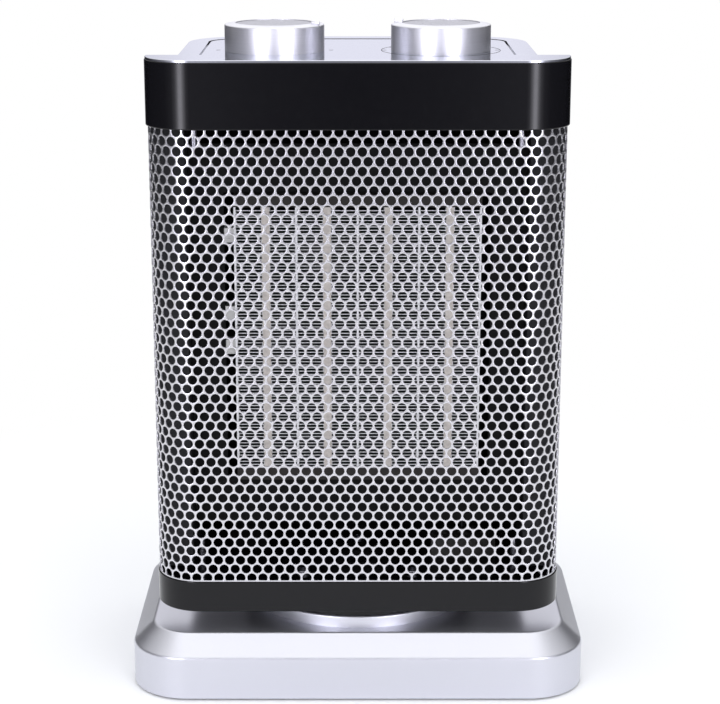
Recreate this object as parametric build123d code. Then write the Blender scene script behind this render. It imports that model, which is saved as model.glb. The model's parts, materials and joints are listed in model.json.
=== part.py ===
from build123d import *
import math
import os

# Oscillating ceramic fan heater. Millimetres, +Z up, the front faces -Y.
# The origin is the point on the floor under the swivel axis.
os.makedirs("parts", exist_ok=True)

# General fits
fit_gap = 0.2
running_gap = 0.3
bore_gap = 0.1
overrun = 1.0
wall = 2.2

# Base
base_width = 187.0
base_depth = 124.0
base_corner = 23.7
base_lift = 1.0
base_shoulder = 18.5
base_top = 26.6
bevel_run = 8.5
base_wall = 2.4
plate_under = 1.6
plate_thick = 2.4
foot_radius = 7.0
foot_x = 60.0
foot_y = 44.0
base_screw_x = 76.0
base_screw_y = 45.0

# Screws
screw_sides = 8
screw_radius = 1.4
screw_head = 3.0
screw_head_height = 1.4
screw_boss = 3.8
screw_bite = 10.0
pilot_depth = 12.0
lug_screw_bite = 9.0
post_length = 14.0
post_sink = 0.6
post_setback = 2.0

# Swivel
swivel_limit = 35.0
disc_radius = 49.0
disc_height = 5.0
disc_taper = 1.2
disc_edge = 1.0
glide_inner = 34.0
glide_outer = 40.0
glide_height = 1.0
collar_radius = 48.6
collar_wall = 3.6
collar_screw_count = 3
collar_screw_ring = 27.0
tube_radius = 10.0
tube_wall = 2.5
tube_flange = 8.0
tube_flange_height = 2.0
bush_wall = 3.0
bush_flange = 2.5
bush_flange_height = 1.3

# Swinging mechanism in the base
crank_throw = 19.5
crank_half_width = 6.0
crank_thick = 1.7
crank_pin = 3.0
crank_pin_height = 0.6
arm_thick = 1.8
arm_half_width = 6.5
arm_hub_wall = 5.0
swing_motor_radius = 25.0
swing_motor_height = 13.3
swing_shaft_radius = 2.9
swing_lug_reach = 29.5
swing_lug_radius = 4.0
swing_lug_thick = 1.2

# Heater body, heights
body_bottom = 35.2
tray_height = 13.0
grille_height = 184.9
cap_height = 25.9
deck_thick = 2.5
floor_thick = 2.4
panel_thick = 0.9

# Heater body, plan
grille_half = 82.5
grille_front = -52.0
grille_corner = 17.9
grille_sheet = 0.8
cap_proud = 0.9
tray_proud = 0.5
ear_back = -31.5
ear_corner = 2.0
rear_half = 70.7
rear_back = 44.5
rear_corner = 25.0
panel_margin = 0.3
panel_groove = 0.8
tongue_half = 61.3
tongue_back = 31.7
tongue_corner = 12.0

# Grille openings: one opening stands for three rows and columns of holes
hole_pitch = 4.5
hole_group = 3
row_ratio = 0.85
opening_across = 11.0
cutter_reach = 6.0

# Rear intake
slot_width = 40.0
slot_height = 4.6
slot_pitch = 8.5
slot_rows = 11
slot_middle = 6.0

# Knobs
knob_x = 33.2
knob_y = -14.0
knob_radius = 19.9
knob_height = 10.8
knob_wall = 2.2
knob_rim = 2.2
knob_edge = 0.6
dish_depth = 1.4
dish_slope = 1.0
dish_cone = 0.4
knob_hub = 5.0
pointer_length = 3.6
pointer_inset = 0.3
pointer_width = 1.2
pointer_height = 0.8
pointer_root = 0.8
power_pointer_angle = -22.0
heat_pointer_angle = 160.0
shaft_radius = 2.9
shaft_depth = 14.0
bush_radius = 5.0
nut_radius = 7.5
nut_height = 1.5
nut_clearance = 0.6

# Rotary controls under the panel
switch_side = 30.0
switch_height = 16.0
switch_tabs = 4
switch_tab_pitch = 6.0
switch_tab_thick = 0.8
switch_tab_width = 6.0
switch_tab_drop = 7.0
shaft_end_gap = 0.5
cam_radius = 8.0
cam_floor = 2.0
bracket_x = 32.0
bracket_y = 24.0
bracket_plate = 2.0
leaf_width = 8.0
leaf_thick = 1.2
stack_x = 8.0
stack_y = 12.0
stack_z = 18.0
stack_place = 10.0

# Heating core
core_front = -26.0
core_depth = 15.0
core_height = 110.0
core_centre_z = 143.5
strip_thick = 3.2
fin_width = 10.4
divider_thick = 0.8
core_units = 4
fin_folds = 24
fin_sheet = 0.5
rail_height = 5.0
rail_lip = 0.5
tab_length = 4.0
tab_height = 6.0
tab_width = 6.0
tab_setback = 2.0
tab_rises = (-3.5, 10.6, 43.1)
frame_front = -22.0
frame_thick = 3.0
frame_half = 68.2
frame_half_height = 80.0
duct_back = -4.0

# Fan and its motor
shroud_thick = 2.4
shroud_radius = 47.6
shroud_ring_back = 12.0
fan_radius = 45.4
fan_front = 0.5
fan_depth = 10.0
fan_hub = 12.0
fan_blades = 5
blade_thick = 1.4
blade_pitch = 32.0
blade_root = 1.0
spider_thick = 2.2
spider_spokes = 4
spoke_width = 6.0
spoke_turn = 45.0
spider_hub = 22.0
stack_depth = 12.0
stack_width = 46.0
stack_rise = 19.0
stack_drop = 40.0
stack_leg = 8.0
stack_web = 4.0
stack_gap = 4.0
rotor_radius = 12.2
rotor_air = 0.4
motor_shaft = 2.0
motor_shaft_tail = 7.0
motor_boss = 3.5
motor_screw_x = 18.0
motor_screw_floor = 1.5
bridge_thick = 1.6
bridge_half = 22.0
bridge_height = 10.0
bearing_radius = 5.0
bearing_length = 1.2
coil_core = 5.0
coil_build = 4.0

# Safety and connection parts inside
cutout_x = 20.0
cutout_radius = 6.5
cutout_height = 5.0
cutout_cap_radius = 4.0
cutout_cap_height = 3.0
tilt_x = -48.0
tilt_y = 20.0
tilt_size = (16.0, 12.0, 20.0)
terminal_x = 46.0
terminal_y = 10.0
terminal_size = (28.0, 12.0, 9.0)
terminal_poles = 3
terminal_pitch = 9.0
terminal_well = 2.4
terminal_well_depth = 4.0

# Cord gland
gland_z = 62.0
gland_radius = 6.4
gland_flange = 8.5
gland_flange_thick = 2.0
gland_bore = 3.6

# Heights and places worked out from the values above
tray_top = body_bottom + tray_height
cap_bottom = tray_top + grille_height
cap_top = cap_bottom + cap_height
deck_under = cap_top - deck_thick
panel_top = cap_top + panel_thick
floor_top = body_bottom + floor_thick
knob_low = panel_top + running_gap
knob_top = knob_low + knob_height
knob_skin = knob_top - dish_depth - knob_wall
plate_top = plate_under + plate_thick
base_under = base_top - base_wall
disc_top = base_top + disc_height
grille_side = grille_half - grille_corner
flange_front = ear_back - wall
crank_x = crank_throw / math.sin(math.radians(swivel_limit))
swing_motor_top = plate_top + swing_motor_height
crank_bottom = swing_motor_top + 2 * fit_gap
crank_top = crank_bottom + crank_thick
arm_bottom = crank_top + crank_pin_height + running_gap
tube_bottom = arm_bottom
core_half = core_units * (2 * fin_width + strip_thick) / 2 + (core_units + 1) * divider_thick / 2
unit_pitch = 2 * fin_width + strip_thick + divider_thick
core_bottom = core_centre_z - core_height / 2
core_top = core_centre_z + core_height / 2
duct_half = core_half + tab_length + fit_gap
duct_half_height = core_height / 2 + rail_height + fit_gap
spider_back = shroud_ring_back + spider_thick
stack_front = spider_back + stack_gap
stack_back = stack_front + stack_depth
post_side_x = rear_half - wall - screw_boss + post_sink
post_front_y = flange_front + screw_boss + post_setback
post_rear_x = rear_half - rear_corner + post_setback
post_rear_y = rear_back - wall - screw_boss + post_sink
body_posts = [
    (side * x, y)
    for side in (-1, 1)
    for x, y in ((post_side_x, post_front_y), (post_rear_x, post_rear_y))
]
base_posts = [(sx * base_screw_x, sy * base_screw_y) for sx in (-1, 1) for sy in (-1, 1)]
foot_places = [(sx * foot_x, sy * foot_y) for sx in (-1, 1) for sy in (-1, 1)]
swing_lugs = [(crank_x, side * swing_lug_reach) for side in (-1, 1)]
swing_lug_under = swing_motor_top - swing_lug_thick
collar_screw_turns = [
    math.radians(90 + index * 360 / collar_screw_count) for index in range(collar_screw_count)
]
collar_screw_places = [
    (collar_screw_ring * math.cos(turn), collar_screw_ring * math.sin(turn))
    for turn in collar_screw_turns
]
knob_places = [(-knob_x, knob_y), (knob_x, knob_y)]
bevel_mitre = math.tan(math.atan2(bevel_run, base_top - base_shoulder) / 2)


def plan_block(half, front, back, front_corner, back_corner):
    """Rectangle seen from above, with its front and back corners rounded."""
    plan = Pos(0, (front + back) / 2) * Rectangle(2 * half, back - front)
    if front_corner > 0:
        corners = plan.vertices().filter_by(lambda v: v.Y < front + 0.001)
        plan = fillet(corners, front_corner)
    if back_corner > 0:
        corners = plan.vertices().filter_by(lambda v: v.Y > back - 0.001)
        plan = fillet(corners, back_corner)
    return plan


def body_plan(proud, inset=0.0):
    """Outline of the body: a wide front with two ears and a narrower rounded back."""
    grow = proud - inset
    ears = plan_block(grille_half + grow, grille_front - grow, ear_back - inset,
                      grille_corner + grow, 0 if inset else ear_corner)
    back = plan_block(rear_half - inset, flange_front - inset, rear_back - inset,
                      0, rear_corner - inset)
    return ears + back


def between(plan, low, high):
    """Solid standing on a plan between two heights."""
    return Pos(0, 0, low) * extrude(plan, high - low)


def post(x, y, radius, low, high):
    """Upright round post."""
    return Pos(x, y, (low + high) / 2) * Cylinder(radius, high - low)


def posts(places, radius, low, high):
    return [post(x, y, radius, low, high) for x, y in places]


def barrel(radius, front, back, x, z):
    """Round bar lying along Y."""
    return Pos(x, (front + back) / 2, z) * Rot(90, 0, 0) * Cylinder(radius, back - front)


def pin(x, y, radius, low, high):
    """Upright prism for a screw, its hole or its boss."""
    return Pos(x, y, low) * extrude(RegularPolygon(radius, screw_sides), high - low)


def pins(places, radius, low, high):
    return [pin(x, y, radius, low, high) for x, y in places]


def lying_pin(radius, front, back, x, z):
    """The same prism lying along Y."""
    return Pos(x, back, z) * Rot(90, 0, 0) * pin(0, 0, radius, 0, back - front)


def block(x0, x1, y0, y1, z0, z1):
    """Plain block between two corners."""
    return Pos((x0 + x1) / 2, (y0 + y1) / 2, (z0 + z1) / 2) * Box(x1 - x0, y1 - y0, z1 - z0)


def hoop(outer, inner, low, high):
    """Flat ring around the swivel axis."""
    return between(Circle(outer) - Circle(inner), low, high)


def rounded(width, depth, corner, z):
    return (Pos(0, 0, z) * RectangleRounded(width, depth, corner)).face()


def base_form(inset, low):
    """Upright skirt with a bevel up to a flat top, as a solid."""
    width = base_width - 2 * inset
    depth = base_depth - 2 * inset
    corner = base_corner - inset
    top = base_top - inset
    shoulder = base_shoulder - inset * bevel_mitre
    skirt = between(RectangleRounded(width, depth, corner), low, shoulder)
    bevel = loft(
        [
            rounded(width, depth, corner, shoulder),
            rounded(width - 2 * bevel_run, depth - 2 * bevel_run, corner - bevel_run, top),
        ],
        ruled=True,
    )
    return skirt + bevel


def make_base_housing():
    shell = base_form(0, base_lift) - base_form(base_wall, base_lift - overrun)
    shell = shell + pins(base_posts, screw_boss, plate_top, base_under + base_wall / 2)
    pilot = screw_radius + bore_gap
    shell = shell - pins(base_posts, pilot, plate_top - overrun, plate_top + pilot_depth)
    hub = tube_radius + bore_gap + bush_wall
    return shell - post(0, 0, hub, base_under - overrun, base_top + overrun)


def make_base_plate():
    grow = base_wall + fit_gap
    plate = between(
        RectangleRounded(base_width - 2 * grow, base_depth - 2 * grow, base_corner - grow),
        plate_under, plate_top,
    )
    hole = screw_radius + bore_gap
    plate = plate + pins(swing_lugs, swing_lug_radius, plate_top, swing_lug_under)
    plate = plate - pins(swing_lugs, hole, plate_top + overrun, swing_lug_under + overrun)
    head_top = plate_under + screw_head_height
    plate = plate - pins(base_posts, screw_head + fit_gap, plate_under - overrun, head_top)
    return plate - pins(base_posts, hole, plate_under, plate_top + overrun)


def make_feet():
    return posts(foot_places, foot_radius, 0, plate_under)


def screw(x, y, head_low, head_high, tip):
    """Pan head screw standing along Z, its shank running from the head to the tip."""
    head = pin(x, y, screw_head, head_low, head_high)
    shank = pin(x, y, screw_radius, min(tip, head_low), max(tip, head_high))
    return head + shank


def make_base_screws():
    head_top = plate_under + screw_head_height
    return [screw(x, y, plate_under, head_top, plate_top + screw_bite) for x, y in base_posts]


def make_swivel_disc():
    """Raised turntable with a flared edge, hollow under its top."""
    hub = tube_radius + bore_gap + bush_wall
    rim = disc_radius - disc_taper
    profile = Polyline(
        (hub, base_top), (hub, disc_top), (rim - disc_edge, disc_top), (rim, disc_top - disc_edge),
        (disc_radius, base_top), (disc_radius - base_wall, base_top),
        (rim - base_wall, disc_top - base_wall), (hub + base_wall, disc_top - base_wall),
        (hub + base_wall, base_top), close=True,
    )
    return revolve(Plane.XZ * make_face(profile), Axis.Z)


def make_glide_ring():
    return hoop(glide_outer, glide_inner, disc_top, disc_top + glide_height)


def make_pivot_bush():
    inner = tube_radius + bore_gap
    sleeve = hoop(inner + bush_wall, inner, base_under - bush_flange_height, disc_top)
    flange = hoop(inner + bush_wall + bush_flange, inner,
                  base_under - bush_flange_height, base_under)
    return sleeve + flange


def make_swing_motor():
    body = post(crank_x, 0, swing_motor_radius, plate_top, swing_motor_top)
    lugs = Pos(crank_x, 0) * Rot(0, 0, 90) * SlotCenterToCenter(
        2 * swing_lug_reach, 2 * swing_lug_radius
    )
    body = body + between(lugs, swing_lug_under, swing_motor_top)
    shaft = post(crank_x, 0, swing_shaft_radius, swing_motor_top, crank_top - fit_gap)
    holes = pins(swing_lugs, screw_radius + bore_gap, plate_top, swing_motor_top + overrun)
    return body + shaft - holes


def make_swing_motor_screws():
    top = swing_motor_top + screw_head_height
    tip = swing_lug_under - lug_screw_bite
    return [screw(x, y, swing_motor_top, top, tip) for x, y in swing_lugs]


def make_crank():
    plan = Pos(crank_x + crank_throw / 2, 0) * SlotCenterToCenter(
        crank_throw, 2 * crank_half_width
    )
    lever = between(plan, crank_bottom, crank_top)
    bore = swing_shaft_radius + bore_gap
    lever = lever - post(crank_x, 0, bore, crank_bottom - overrun, crank_top + overrun)
    pin = post(crank_x + crank_throw, 0, crank_pin, crank_top, crank_top + crank_pin_height)
    return lever + pin


def make_slotted_arm():
    """Lever on the swinging tube, with the slot that the crank pin works in."""
    near = crank_x - crank_throw
    far = crank_x + crank_throw
    middle = Pos((near + far) / 2, 0)
    plan = Circle(tube_radius + arm_hub_wall) + middle * SlotCenterToCenter(far - near, 2 * arm_half_width)
    plan = plan - middle * SlotCenterToCenter(far - near, 2 * (crank_pin + fit_gap))
    plan = plan - Circle(tube_radius + bore_gap)
    return between(plan, arm_bottom, arm_bottom + arm_thick)


def make_pivot_tube():
    inner = tube_radius - tube_wall
    top = floor_top + tube_flange_height
    tube = hoop(tube_radius, inner, tube_bottom, top)
    return tube + hoop(tube_radius + tube_flange, inner, floor_top, top)


def make_swivel_collar():
    """Black ring under the body that covers the glide ring."""
    inner = tube_radius + bore_gap
    low = disc_top + running_gap
    web = disc_top + glide_height + running_gap
    rim = hoop(collar_radius, collar_radius - collar_wall, low, body_bottom)
    collar = rim + hoop(collar_radius - collar_wall / 2, inner, web, body_bottom)
    pilot = screw_radius + bore_gap
    return collar - pins(collar_screw_places, pilot, web - overrun, body_bottom + overrun)


def make_collar_screws():
    tip = disc_top + glide_height + 2 * running_gap
    top = floor_top + screw_head_height
    return [screw(x, y, floor_top, top, tip) for x, y in collar_screw_places]


def make_bottom_tray():
    tray = between(body_plan(tray_proud), body_bottom, tray_top)
    tray = tray - between(body_plan(tray_proud, wall), floor_top, tray_top + overrun)
    tray = tray + pins(body_posts, screw_boss, body_bottom, tray_top)
    hole = screw_radius + bore_gap
    low = body_bottom - overrun
    tray = tray - pins(body_posts, screw_head + fit_gap, low, body_bottom + screw_head_height)
    tray = tray - pins(body_posts, hole, low, tray_top + overrun)
    tray = tray - pins(collar_screw_places, hole, low, floor_top + overrun)
    return tray - post(0, 0, tube_radius + bore_gap, low, floor_top + overrun)


def make_tray_screws():
    head_top = body_bottom + screw_head_height
    return [screw(x, y, body_bottom, head_top, tray_top + screw_bite) for x, y in body_posts]


def make_rear_housing():
    """Back shell with the two ear walls behind the grille and the air intake."""
    outer = plan_block(rear_half, flange_front, rear_back, 0, rear_corner)
    ears = plan_block(grille_half, flange_front, ear_back, 0, ear_corner / 2)
    inner = plan_block(rear_half - wall, flange_front - overrun, rear_back - wall,
                       0, rear_corner - wall)
    shell = between(outer + ears - inner, tray_top, cap_bottom)
    shell = shell + pins(body_posts, screw_boss, tray_top, tray_top + post_length)
    shell = shell + pins(body_posts, screw_boss, cap_bottom - post_length, cap_bottom)
    pilot = screw_radius + bore_gap
    shell = shell - pins(body_posts, pilot, tray_top - overrun, tray_top + pilot_depth)
    shell = shell - pins(body_posts, pilot, cap_bottom - pilot_depth, cap_bottom + overrun)
    slots = []
    first = core_centre_z - (slot_rows - 1) * slot_pitch / 2
    for row in range(slot_rows):
        z = first + row * slot_pitch
        for side in (-1, 1):
            x = side * (slot_width + slot_middle) / 2
            slots.append(block(x - slot_width / 2, x + slot_width / 2,
                               rear_back - 2 * wall, rear_back + overrun,
                               z - slot_height / 2, z + slot_height / 2))
    gland = barrel(gland_radius + bore_gap, rear_back - 2 * wall, rear_back + overrun, 0, gland_z)
    return shell - slots - gland


def opening_at(along, z):
    """Hexagonal cutter through the sheet, at a distance along it from the middle."""
    radius = opening_across / math.sqrt(3)
    cutter = extrude(RegularPolygon(radius, 6, rotation=30), cutter_reach, both=True)
    flat = min(abs(along), grille_side)
    reach = grille_corner - grille_sheet / 2
    turn = (abs(along) - flat) / reach
    side = 1 if along > 0 else -1
    x = side * (flat + reach * math.sin(turn))
    y = grille_front + grille_corner - reach * math.cos(turn)
    return Pos(x, y, z) * Rot(0, 0, side * math.degrees(turn)) * Rot(90, 0, 0) * cutter


def make_grille():
    """Perforated sheet that wraps the front and both corners."""
    outer = plan_block(grille_half, grille_front, flange_front, grille_corner, 0)
    inner = plan_block(grille_half - grille_sheet, grille_front + grille_sheet,
                       flange_front + overrun, grille_corner - grille_sheet, 0)
    sheet = between(outer - inner, tray_top, cap_bottom)
    pitch = hole_pitch * hole_group
    row_pitch = pitch * row_ratio
    rows = int((grille_height - opening_across) / row_pitch) + 1
    reach = grille_side + (grille_corner - grille_sheet / 2) * math.pi / 2 - pitch / 2
    columns = int(reach / pitch) + 1
    first = tray_top + (grille_height - (rows - 1) * row_pitch) / 2
    cutters = []
    for row in range(rows):
        shift = 0.5 if row % 2 else 0.0
        for column in range(-columns, columns + 1):
            along = (column + shift) * pitch
            if abs(along) < reach:
                cutters.append(opening_at(along, first + row * row_pitch))
    return sheet - cutters


def make_top_cap():
    cap = between(body_plan(cap_proud), cap_bottom, cap_top)
    cap = cap - between(body_plan(cap_proud, wall), cap_bottom - overrun, deck_under)
    cap = cap + pins(body_posts, screw_boss, cap_bottom, cap_top)
    high = cap_top + overrun
    cap = cap - pins(body_posts, screw_head + fit_gap, cap_top - screw_head_height, high)
    cap = cap - pins(body_posts, screw_radius + bore_gap, cap_bottom - overrun, high)
    return cap - posts(knob_places, bush_radius + bore_gap, deck_under - overrun, high)


def make_cap_screws():
    head_low = cap_top - screw_head_height
    return [screw(x, y, head_low, cap_top, cap_bottom - screw_bite) for x, y in body_posts]


def tongue_plan(grow=0.0):
    return plan_block(tongue_half + grow, flange_front, tongue_back + grow,
                      0, tongue_corner + grow)


def make_control_panel():
    """Silver plate: the front strip with the ears, and the tongue that carries the knobs."""
    grow = cap_proud - panel_margin
    front = plan_block(grille_half + grow, grille_front - grow, ear_back - panel_margin,
                       grille_corner + grow, ear_corner)
    plate = between(front + tongue_plan(), cap_top, panel_top)
    return plate - posts(knob_places, bush_radius + bore_gap, cap_top - overrun, panel_top + overrun)


def make_top_surround():
    """Silver plate around the tongue, with a groove left between the two."""
    outer = plan_block(rear_half - panel_margin, ear_back + panel_margin, rear_back - panel_margin,
                       0, rear_corner - panel_margin)
    return between(outer - tongue_plan(panel_groove), cap_top, panel_top)


def make_knob(x, angle):
    """Hollow knob with a bright rim, a dished top and a pointer on the rim."""
    dish = knob_radius - knob_rim
    inner = knob_radius - knob_wall
    hub_low = knob_low + nut_height + nut_clearance
    bore = shaft_radius + bore_gap
    profile = Polyline(
        (bore, hub_low), (knob_hub, hub_low), (knob_hub, knob_skin), (inner, knob_skin),
        (inner, knob_low), (knob_radius, knob_low), (knob_radius, knob_top - knob_edge),
        (knob_radius - knob_edge, knob_top), (dish, knob_top),
        (dish - dish_slope, knob_top - dish_depth), (0, knob_top - dish_depth - dish_cone),
        (0, knob_skin), (bore, knob_skin), close=True,
    )
    knob = revolve(Plane.XZ * make_face(profile), Axis.Z)
    pointer = block(knob_radius - pointer_length, knob_radius - pointer_inset,
                    -pointer_width / 2, pointer_width / 2,
                    knob_top - pointer_root, knob_top + pointer_height)
    knob = knob + Rot(0, 0, angle) * pointer
    return Pos(x, knob_y) * knob


def make_knob_shaft(x):
    return post(x, knob_y, shaft_radius, deck_under - shaft_depth, knob_skin - fit_gap)


def make_panel_nuts():
    nuts = []
    for x, y in knob_places:
        plan = RegularPolygon(nut_radius, 6) - Circle(bush_radius + bore_gap)
        nuts.append(Pos(x, y) * between(plan, panel_top, panel_top + nut_height))
    return nuts


def control_bush(x):
    """Threaded bush of a rotary control, through the deck and the panel."""
    return post(x, knob_y, bush_radius, deck_under, panel_top + nut_height)


def shaft_hole(x):
    """Hole of a rotary control for its shaft."""
    low = deck_under - shaft_depth - shaft_end_gap
    return post(x, knob_y, shaft_radius + bore_gap, low, panel_top + nut_height + overrun)


def make_power_switch():
    half = switch_side / 2
    low = deck_under - switch_height
    body = block(-knob_x - half, -knob_x + half, knob_y - half, knob_y + half, low, deck_under)
    body = body + control_bush(-knob_x)
    for index in range(switch_tabs):
        x = -knob_x + (index - (switch_tabs - 1) / 2) * switch_tab_pitch
        body = body + block(x - switch_tab_thick / 2, x + switch_tab_thick / 2,
                            knob_y - switch_tab_width / 2, knob_y + switch_tab_width / 2,
                            low - switch_tab_drop, low)
    return body - shaft_hole(-knob_x)


def make_thermostat():
    """Bimetal thermostat: a flat bracket, the ceramic stack and the spring leaves."""
    plate_low = deck_under - bracket_plate
    body = block(knob_x - bracket_x / 2, knob_x + bracket_x / 2,
                 knob_y - bracket_y / 2, knob_y + bracket_y / 2, plate_low, deck_under)
    body = body + post(knob_x, knob_y, cam_radius, deck_under - shaft_depth - cam_floor, plate_low)
    left = knob_x - stack_place - stack_x / 2
    stack_low = plate_low - stack_z
    body = body + block(left, left + stack_x, knob_y - stack_y / 2, knob_y + stack_y / 2,
                        stack_low, plate_low)
    body = body + block(left, knob_x + bracket_x / 2, knob_y - leaf_width / 2,
                        knob_y + leaf_width / 2, stack_low - leaf_thick, stack_low)
    return body + control_bush(knob_x) - shaft_hole(knob_x)


def make_ptc_strips():
    """Ceramic heating strips, one in the middle of each unit."""
    strips = []
    for unit in range(core_units):
        x = (unit - (core_units - 1) / 2) * unit_pitch
        strips.append(block(x - strip_thick / 2, x + strip_thick / 2,
                            core_front, core_front + core_depth, core_bottom, core_top))
    return strips


def corrugated_fin(left, right):
    """Aluminium ribbon folded to and fro between two plates."""
    step = (core_height - fin_sheet) / fin_folds
    rising = [(right, core_bottom)]
    falling = [(left, core_top)]
    for fold in range(0, fin_folds, 2):
        low = core_bottom + fold * step + fin_sheet
        high = core_bottom + (fold + 1) * step
        rising += [(right, low), (left + fin_sheet, low), (left + fin_sheet, high), (right, high)]
    rising.append((right, core_top))
    for fold in reversed(range(1, fin_folds, 2)):
        low = core_bottom + fold * step + fin_sheet
        high = core_bottom + (fold + 1) * step
        falling += [(left, high), (right - fin_sheet, high), (right - fin_sheet, low), (left, low)]
    falling.append((left, core_bottom))
    ribbon = extrude(Plane.XZ * make_face(Polyline(*rising, *falling, close=True)), core_depth)
    return Pos(0, core_front + core_depth - ribbon.bounding_box().max.Y, 0) * ribbon


def make_ptc_fins():
    fins = []
    gap = bore_gap / 2
    for unit in range(core_units):
        x = (unit - (core_units - 1) / 2) * unit_pitch
        near = strip_thick / 2 + gap
        far = strip_thick / 2 + fin_width - gap
        fins.append(corrugated_fin(x - far, x - near))
        fins.append(corrugated_fin(x + near, x + far))
    return fins


def make_ptc_plates():
    """Divider and outer plates that clamp the fins and carry the current."""
    plates = []
    for index in range(core_units + 1):
        x = (index - core_units / 2) * unit_pitch
        plates.append(block(x - divider_thick / 2, x + divider_thick / 2,
                            core_front, core_front + core_depth, core_bottom, core_top))
    return plates


def make_core_rails():
    """Insulating rails over both ends of the core."""
    rails = []
    for low in (core_bottom - rail_height, core_top):
        rails.append(block(-core_half, core_half, core_front - rail_lip,
                           core_front + core_depth + rail_lip, low, low + rail_height))
    return rails


def make_core_terminals():
    tabs = []
    front = core_front + tab_setback
    for rise in tab_rises:
        low = core_centre_z + rise - tab_height / 2
        tabs.append(block(-core_half - tab_length, -core_half, front, front + tab_width,
                          low, low + tab_height))
    return tabs


def around_core(half, half_height, front, back):
    return block(-half, half, front, back, core_centre_z - half_height, core_centre_z + half_height)


def make_core_frame():
    """Black frame across the body, with the duct that holds the core."""
    plate = around_core(frame_half, frame_half_height, frame_front, frame_front + frame_thick)
    duct = around_core(duct_half + wall, duct_half_height + wall, frame_front, duct_back)
    window = around_core(duct_half, duct_half_height, frame_front - overrun, duct_back + overrun)
    return plate + duct - window


def make_fan_shroud():
    """Plate behind the duct with the ring that the fan turns in."""
    plate = around_core(duct_half + wall, duct_half_height + wall, duct_back, duct_back + shroud_thick)
    ring = barrel(shroud_radius + wall, duct_back, shroud_ring_back, 0, core_centre_z)
    hole = barrel(shroud_radius, duct_back - overrun, shroud_ring_back + overrun, 0, core_centre_z)
    return plate + ring - hole


def make_fan():
    """Axial fan with pitched blades on a round hub."""
    hub = barrel(fan_hub, fan_front, fan_front + fan_depth, 0, 0)
    limit = barrel(fan_radius, fan_front, fan_front + fan_depth, 0, 0)
    chord = fan_depth / math.sin(math.radians(blade_pitch))
    blades = []
    for index in range(fan_blades):
        plate = block(fan_hub - blade_root, fan_radius + overrun, -chord / 2, chord / 2,
                      -blade_thick / 2, blade_thick / 2)
        plate = Rot(90 - blade_pitch, 0, 0) * plate
        plate = Pos(0, fan_front + fan_depth / 2, 0) * plate
        blades.append((Rot(0, index * 360 / fan_blades, 0) * plate) & limit)
    bore = barrel(motor_shaft, fan_front - overrun, fan_front + fan_depth + overrun, 0, 0)
    return Pos(0, 0, core_centre_z) * (hub + blades - bore)


def make_motor_rotor():
    """Rotor core on the fan shaft."""
    shaft = barrel(motor_shaft, fan_front, stack_back + motor_shaft_tail, 0, core_centre_z)
    return shaft + barrel(rotor_radius, stack_front, stack_back, 0, core_centre_z)


def make_motor_spider():
    """Ring with spokes that carries the motor behind the fan."""
    low = shroud_ring_back - overrun
    ring = barrel(shroud_radius + wall, shroud_ring_back, spider_back, 0, 0)
    ring = ring - barrel(shroud_radius, low, spider_back + overrun, 0, 0)
    spider = ring + barrel(spider_hub, shroud_ring_back, spider_back, 0, 0)
    for index in range(spider_spokes):
        spoke = block(spider_hub - overrun, shroud_radius + wall / 2, shroud_ring_back, spider_back,
                      -spoke_width / 2, spoke_width / 2)
        spider = spider + Rot(0, spoke_turn + index * 360 / spider_spokes, 0) * spoke
    spider = spider - barrel(2 * motor_shaft, low, spider_back + overrun, 0, 0)
    for x in (-motor_screw_x, motor_screw_x):
        spider = spider + lying_pin(motor_boss, spider_back, stack_front - bridge_thick, x, 0)
        spider = spider - lying_pin(screw_radius + bore_gap, low + 2 * overrun, stack_front, x, 0)
    return Pos(0, 0, core_centre_z) * spider


def make_motor_laminations():
    """Laminated iron frame, round above for the rotor and open below for the coil."""
    half = stack_width / 2
    low = core_centre_z - stack_drop
    front = stack_front - overrun
    back = stack_back + overrun
    frame = block(-half, half, stack_front, stack_back, low, core_centre_z + stack_rise)
    frame = frame - barrel(rotor_radius + rotor_air, front, back, 0, core_centre_z)
    frame = frame - block(-half + stack_leg, half - stack_leg, front, back,
                          low + 2 * coil_core, core_centre_z - rotor_radius - stack_web)
    for x in (-motor_screw_x, motor_screw_x):
        frame = frame - lying_pin(screw_radius + bore_gap, front, back, x, core_centre_z)
    return frame


def make_motor_coil():
    """Copper winding around the lower leg of the frame."""
    half = stack_width / 2 - stack_leg - fit_gap
    z = core_centre_z - stack_drop + coil_core
    middle = (stack_front + stack_back) / 2
    depth = stack_depth / 2 + fit_gap
    height = coil_core + fit_gap
    winding = block(-half, half, middle - depth - coil_build, middle + depth + coil_build,
                    z - height - coil_build, z + height + coil_build)
    return winding - block(-half - overrun, half + overrun, middle - depth, middle + depth,
                           z - height, z + height)


def motor_bridge(front, bearing_front):
    """Bridge across the frame with a bearing for the shaft."""
    z = core_centre_z
    back = front + bridge_thick
    bridge = block(-bridge_half, bridge_half, front, back,
                   z - bridge_height / 2, z + bridge_height / 2)
    bearing_back = bearing_front + bridge_thick + bearing_length
    bridge = bridge + barrel(bearing_radius, bearing_front, bearing_back, 0, z)
    bore = barrel(motor_shaft + bore_gap, bearing_front - overrun, bearing_back + overrun, 0, z)
    bridge = bridge - bore
    for x in (-motor_screw_x, motor_screw_x):
        bridge = bridge - lying_pin(screw_radius + bore_gap, front - overrun, back + overrun, x, z)
    return bridge


def make_motor_bridges():
    front = stack_front - bridge_thick
    return [motor_bridge(front, front - bearing_length), motor_bridge(stack_back, stack_back)]


def make_motor_screws():
    screws = []
    back = stack_back + bridge_thick
    tip = shroud_ring_back + motor_screw_floor
    for x in (-motor_screw_x, motor_screw_x):
        head = lying_pin(screw_head, back, back + screw_head_height, x, core_centre_z)
        screws.append(head + lying_pin(screw_radius, tip, back, x, core_centre_z))
    return screws


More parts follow.
